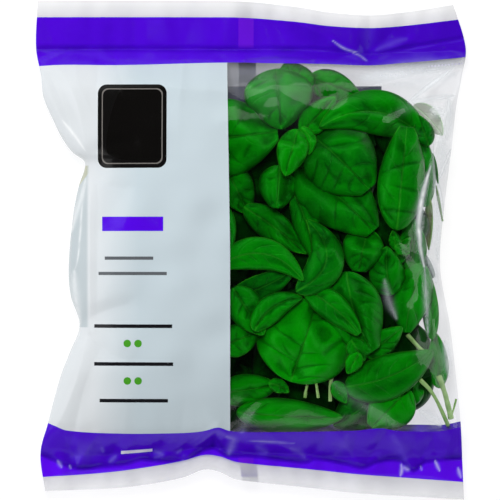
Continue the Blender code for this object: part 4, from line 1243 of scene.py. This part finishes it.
def leaf_material(name, lift):
    """Satin leaf: mottled green, with fine pale veins, a net between them and a thin pale rim.
    lift is added to all its greens, for undersides, and as painted light for leaves that show pale
    through the film."""
    shader = Shader(name)
    mottle = shader.noise(70, 3)
    patch = shader.noise(28, 1)
    grain = shader.noise(2600, 3)
    net = shader.add("ShaderNodeTexVoronoi", Scale=420.0, Vector=shader.place())
    net.feature = "DISTANCE_TO_EDGE"
    net = shader.range(shader.wire(net, "Distance"), 0.02, 0.13, 1.0, 0.0)
    phase = (shader.attribute("phase") + 0.5).fraction()
    from_vein = abs(phase - 0.5) * shader.attribute("spacing")
    vein = shader.range(from_vein, 0.12, 0.55, 1.0, 0.0) * shader.attribute("spread")
    midrib = shader.range(shader.attribute("from_midrib"), 0.22, 0.62, 1.0, 0.0)
    rim = shader.range(shader.attribute("from_rim"), 0.25, 0.6, 1.0, 0.0)

    tone = shader.attribute("tone") + shader.range(mottle, 0.3, 0.7, -0.35, 0.35)
    height = shader.attribute("raised")
    colour = shader.mix(shader.range(patch, 0.4, 0.6), lifted(COOL_GREEN, lift), lifted(DEEP_GREEN, lift))
    for cover, green in (
            (shader.range(tone, 0.0, 1.0), BRIGHT_GREEN),
            (net * 0.10, NET_GREEN),
            (vein * 0.17, VEIN_GREEN),
            (midrib * 0.48, MIDRIB_GREEN),
            (rim * 0.50, RIM_GREEN),
            # painted shade in hollows and painted light on ridges, from how far each point stands above
            # its surroundings
            (shader.range(height, 0.0, -1.0, 0.0, 0.38), HOLLOW_SHADE_GREEN),
            (shader.range(height, 0.0, 1.0, 0.0, 0.22), RIDGE_LIGHT_GREEN),
            # painted shade on leaves of low tone, such as those deep in the bag
            (shader.range(tone, -0.9, -0.2, 1.0, 0.0), SHADED_GREEN)):
        colour = shader.mix(cover, colour, lifted(green, lift))

    relief = grain * 0.35 - shader.either(net * 0.25, vein, midrib)
    shader.fill(shader.surface, Base_Color=colour, Roughness=shader.range(mottle, 0.3, 0.7, 0.26, 0.38),
                Specular_IOR_Level=0.45, Specular_Tint=LEAF_SHINE,
                Normal=shader.bump(relief, 0.00030, 0.7))
    return shader.material


# ---- the stems ----
Stem = namedtuple("Stem", "name points diameter")
STEMS = [
    Stem("stem_corner_thick", [(104.5, -70, 8), (107, -77, 6), (109.5, -85, 3), (111.5, -94, 0)], 2.8),
    Stem("stem_corner_thin", [(94, -72, 13), (100.5, -79, 10), (106, -89, 4), (110, -98, 0)], 2.0),
    Stem("stem_behind_lens", [(87, -47, 2), (91, -51.5, 1), (96, -57, 0)], 2.2),
    Stem("stem_below_round_1", [(32, -71, 0), (31, -76, 1), (30, -82, 0)], 1.6),
    Stem("stem_below_round_2", [(36, -71, 0), (36.5, -76, 1), (37.5, -82, 0)], 1.5),
    Stem("stem_below_round_3", [(45, -70, 0), (44, -76, 1), (44, -84, 0)], 1.9),
]
SIDE_PETIOLE = [(111.5, -93), (113, -88.5), (114.4, -83)]
PETIOLE_DIAMETER = 1.1
PETIOLE_RISE = (1.6, 0.4)   # of its first point over the thick stem's underside, and then at each point
STEM_SEED = 900
PETIOLE_SEED = 990
STEM_GREEN = (0.24, 0.50, 0.11, 1)
PALE_STEM = (0.42, 0.62, 0.25, 1)
BLOTCH_GREEN = (0.16, 0.36, 0.06, 1)
STEM_SIDES = 20
STEM_STEPS = 40
STEM_WOBBLE = 0.05          # unevenness of a stem's sides, and how much it thickens towards its ends
STEM_FLARE = 0.10
STEM_SQUARE = 0.07          # basil stems are square with round corners: depth of the flat sides


def make_stem(stem, finish, seed):
    """A fine cut stem over the CAD one."""
    points = np.array(stem.points, float)
    low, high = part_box(stem.name)
    points[:, 2] += (low.z + high.z) / 2 / MM - (points[:, 2].min() + points[:, 2].max()) / 2
    made = stem_object(stem.name + "_fine", points, stem.diameter, finish, seed)
    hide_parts(stem.name)


def make_petiole(finish):
    """The short side petiole near the cut end of the thick corner stem."""
    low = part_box("stem_corner_thick")[0]
    height = low.z / MM + PETIOLE_RISE[0]
    points = np.array([(x, y, height + PETIOLE_RISE[1] * i) for i, (x, y) in enumerate(SIDE_PETIOLE)])
    stem_object("stem_side_petiole", points, PETIOLE_DIAMETER, finish, PETIOLE_SEED)


def stem_object(name, points, diameter, finish, seed):
    """A square tube along a smooth path through the points, with closed ends."""
    knots = np.linspace(0, 1, len(points))
    t = np.linspace(0, 1, STEM_STEPS)
    path = np.column_stack([through(list(zip(knots, points[:, axis])), t) for axis in range(3)])
    forward = np.gradient(path, axis=0)
    forward /= np.linalg.norm(forward, axis=1, keepdims=True)
    side = np.cross(forward, (0, 0, 1))
    side /= np.linalg.norm(side, axis=1, keepdims=True)
    up = np.cross(side, forward)
    angle = np.linspace(0, 2 * math.pi, STEM_SIDES, endpoint=False)
    wobble = 1 + STEM_WOBBLE * waves(t[:, None] * 40, angle[None] * 2, 14, seed)
    radius = diameter / 2 * (1 + STEM_SQUARE * np.cos(4 * angle)[None]) * wobble
    radius = radius * (1 + STEM_FLARE * np.cos(2 * math.pi * t))[:, None]
    ring = np.cos(angle)[None, :, None] * side[:, None] + np.sin(angle)[None, :, None] * up[:, None]
    rings = path[:, None] + radius[..., None] * ring
    faces = grid_faces(STEM_STEPS, STEM_SIDES, around=True).tolist()
    last = (STEM_STEPS - 1) * STEM_SIDES
    faces.append(list(range(STEM_SIDES))[::-1])
    faces.append([last + i for i in range(STEM_SIDES)])
    mesh = bpy.data.meshes.new(name)
    mesh.from_pydata((rings.reshape(-1, 3) * MM).tolist(), [], faces)
    mesh.shade_smooth()
    mesh.materials.append(finish)
    made = new_object(name, mesh)
    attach(made, "root")
    return made


def stem_material():
    """Pale green with fine fibres along the bag and darker blotches."""
    shader = Shader("stem")
    drawn_out = shader.add("ShaderNodeMapping", Scale=(1, 0.12, 1), Vector=shader.place())
    fibre = shader.noise(1500, 3, shader.wire(drawn_out, "Vector"))
    blotch = shader.range(shader.noise(180, 2), 0.45, 0.7)
    colour = shader.mix(blotch, shader.mix(fibre, STEM_GREEN, PALE_STEM), BLOTCH_GREEN)
    shader.fill(shader.surface, Base_Color=colour, Normal=shader.bump(fibre, 0.0003, 0.5),
                Roughness=shader.range(fibre, 0.3, 0.7, 0.4, 0.55))
    return shader.material


# ---- the studio ----
CAMERA_PLACE = (-0.0005, 0, 4.0)
VIEW_WIDTH = 0.278          # what the camera sees at the height of the leaves
VIEW_HEIGHT = 0.035
SENSOR = 36.0
FAR_CLIP = 20
FLOOR_REACH = 6.0
FLOOR_DROP = 0.0003
FLOOR_GREYS = ((0.20, 0.20, 0.20, 1), (0.22, 0.22, 0.22, 1))
FLOOR_GLOW = 0.84           # keeps the floor as pale as the backdrop of a cut-out picture
SKY_LOW = (0.30, (0.75, 0.75, 0.77, 1))    # the studio's dim surroundings, by height
SKY_HIGH = (0.64, (0.02, 0.02, 0.02, 1))
SKY_STRENGTH = 0.9

# rectangular soft lights that face the bag: the compass angle from +X, and whether each one shows
# in glossy faces and lights matt ones
Light = namedtuple("Light", "name direction elevation distance size radiance glossy diffuse")
LIGHTS = [
    Light("overhead", 100, 76, 1.3, (0.32, 0.32), 35, False, True),
    Light("head", 90, 26, 1.1, (1.5, 0.42), 1.8, True, True),
    Light("foot", 270, 24, 1.1, (1.2, 0.36), 0.9, True, True),
    Light("left", 180, 24, 1.1, (1.2, 0.4), 3.0, True, True),
    Light("right", 0, 22, 1.1, (1.2, 0.36), 2.0, True, False),
]


def make_camera():
    data = bpy.data.cameras.new("camera")
    data.sensor_width = SENSOR
    data.lens = SENSOR * (CAMERA_PLACE[2] - VIEW_HEIGHT) / VIEW_WIDTH
    data.clip_end = FAR_CLIP
    camera = new_object("camera", data)
    camera.location = CAMERA_PLACE
    bpy.context.scene.camera = camera


def make_light(light):
    data = bpy.data.lights.new(light.name, "AREA")
    data.shape = "RECTANGLE"
    data.size, data.size_y = light.size
    data.energy = light.radiance * math.pi * data.size * data.size_y
    made = new_object(light.name, data)
    turn, rise = math.radians(light.direction), math.radians(light.elevation)
    towards = (math.cos(rise) * math.cos(turn), math.cos(rise) * math.sin(turn), math.sin(rise))
    made.location = light.distance * Vector(towards)
    made.rotation_euler = made.location.to_track_quat("Z", "Y").to_euler()
    made.visible_camera = False
    made.visible_glossy = light.glossy
    made.visible_diffuse = light.diffuse


def make_world():
    world = bpy.data.worlds.new("studio")
    world.use_nodes = True
    nodes, links = world.node_tree.nodes, world.node_tree.links
    where = nodes.new("ShaderNodeTexCoord")
    parts = nodes.new("ShaderNodeSeparateXYZ")
    ramp = nodes.new("ShaderNodeValToRGB")
    background = nodes["Background"]
    links.new(where.outputs["Generated"], parts.inputs[0])
    links.new(parts.outputs["Z"], ramp.inputs[0])
    links.new(ramp.outputs[0], background.inputs[0])
    for stop, (place, colour) in zip(ramp.color_ramp.elements, (SKY_LOW, SKY_HIGH)):
        stop.position, stop.color = place, colour
    background.inputs[1].default_value = SKY_STRENGTH
    bpy.context.scene.world = world


def make_floor():
    mesh = bpy.data.meshes.new("floor")
    corners = [(x * FLOOR_REACH, y * FLOOR_REACH, -FLOOR_DROP)
               for x, y in ((-1, -1), (1, -1), (1, 1), (-1, 1))]
    mesh.from_pydata(corners, [], [(0, 1, 2, 3)])
    floor = new_object("floor", mesh)
    shader = Shader("floor")
    shader.fill(shader.surface, Base_Color=shader.mix(shader.noise(40, 2), *FLOOR_GREYS), Roughness=0.8,
                Emission_Color=WHITE, Emission_Strength=FLOOR_GLOW)
    mesh.materials.append(shader.material)


film_finish = film_material()
make_film("front_film", True, FRONT_COLUMNS, film_finish)
make_film("back_film", False, BACK_COLUMNS, film_finish)
make_fin(fin_material())
leaf_finishes = (leaf_material("leaf_face", (0, 0, 0)), leaf_material("leaf_underside", UNDERSIDE_LIFT))
single_finishes = {"pale": leaf_material("leaf_pale", PALE_LIGHT_LIFT),
                   "faint": leaf_material("leaf_faint", FAINT_LIGHT_LIFT)}
depsgraph = bpy.context.evaluated_depsgraph_get()
trees = [BVHTree.FromObject(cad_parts["leaf_" + leaf.name], depsgraph) for leaf in LEAVES]
for number, leaf in enumerate(LEAVES):
    make_leaf(leaf, trees[number], LEAF_SEED + 10 * number, leaf_finishes)
for number, resting in enumerate(RESTING_LEAVES):
    single = single_finishes.get(resting.leaf.name.split("_")[0])
    finishes = (single, single) if single else leaf_finishes
    make_resting_leaf(resting, trees, RESTING_SEED + 10 * number, finishes)
make_inner_leaves(leaf_finishes)
stem_finish = stem_material()
for number, stem in enumerate(STEMS):
    make_stem(stem, stem_finish, STEM_SEED + number)
make_petiole(stem_finish)
make_camera()
for light in LIGHTS:
    make_light(light)
make_world()
make_floor()
bpy.context.scene.view_settings.view_transform = "Standard"
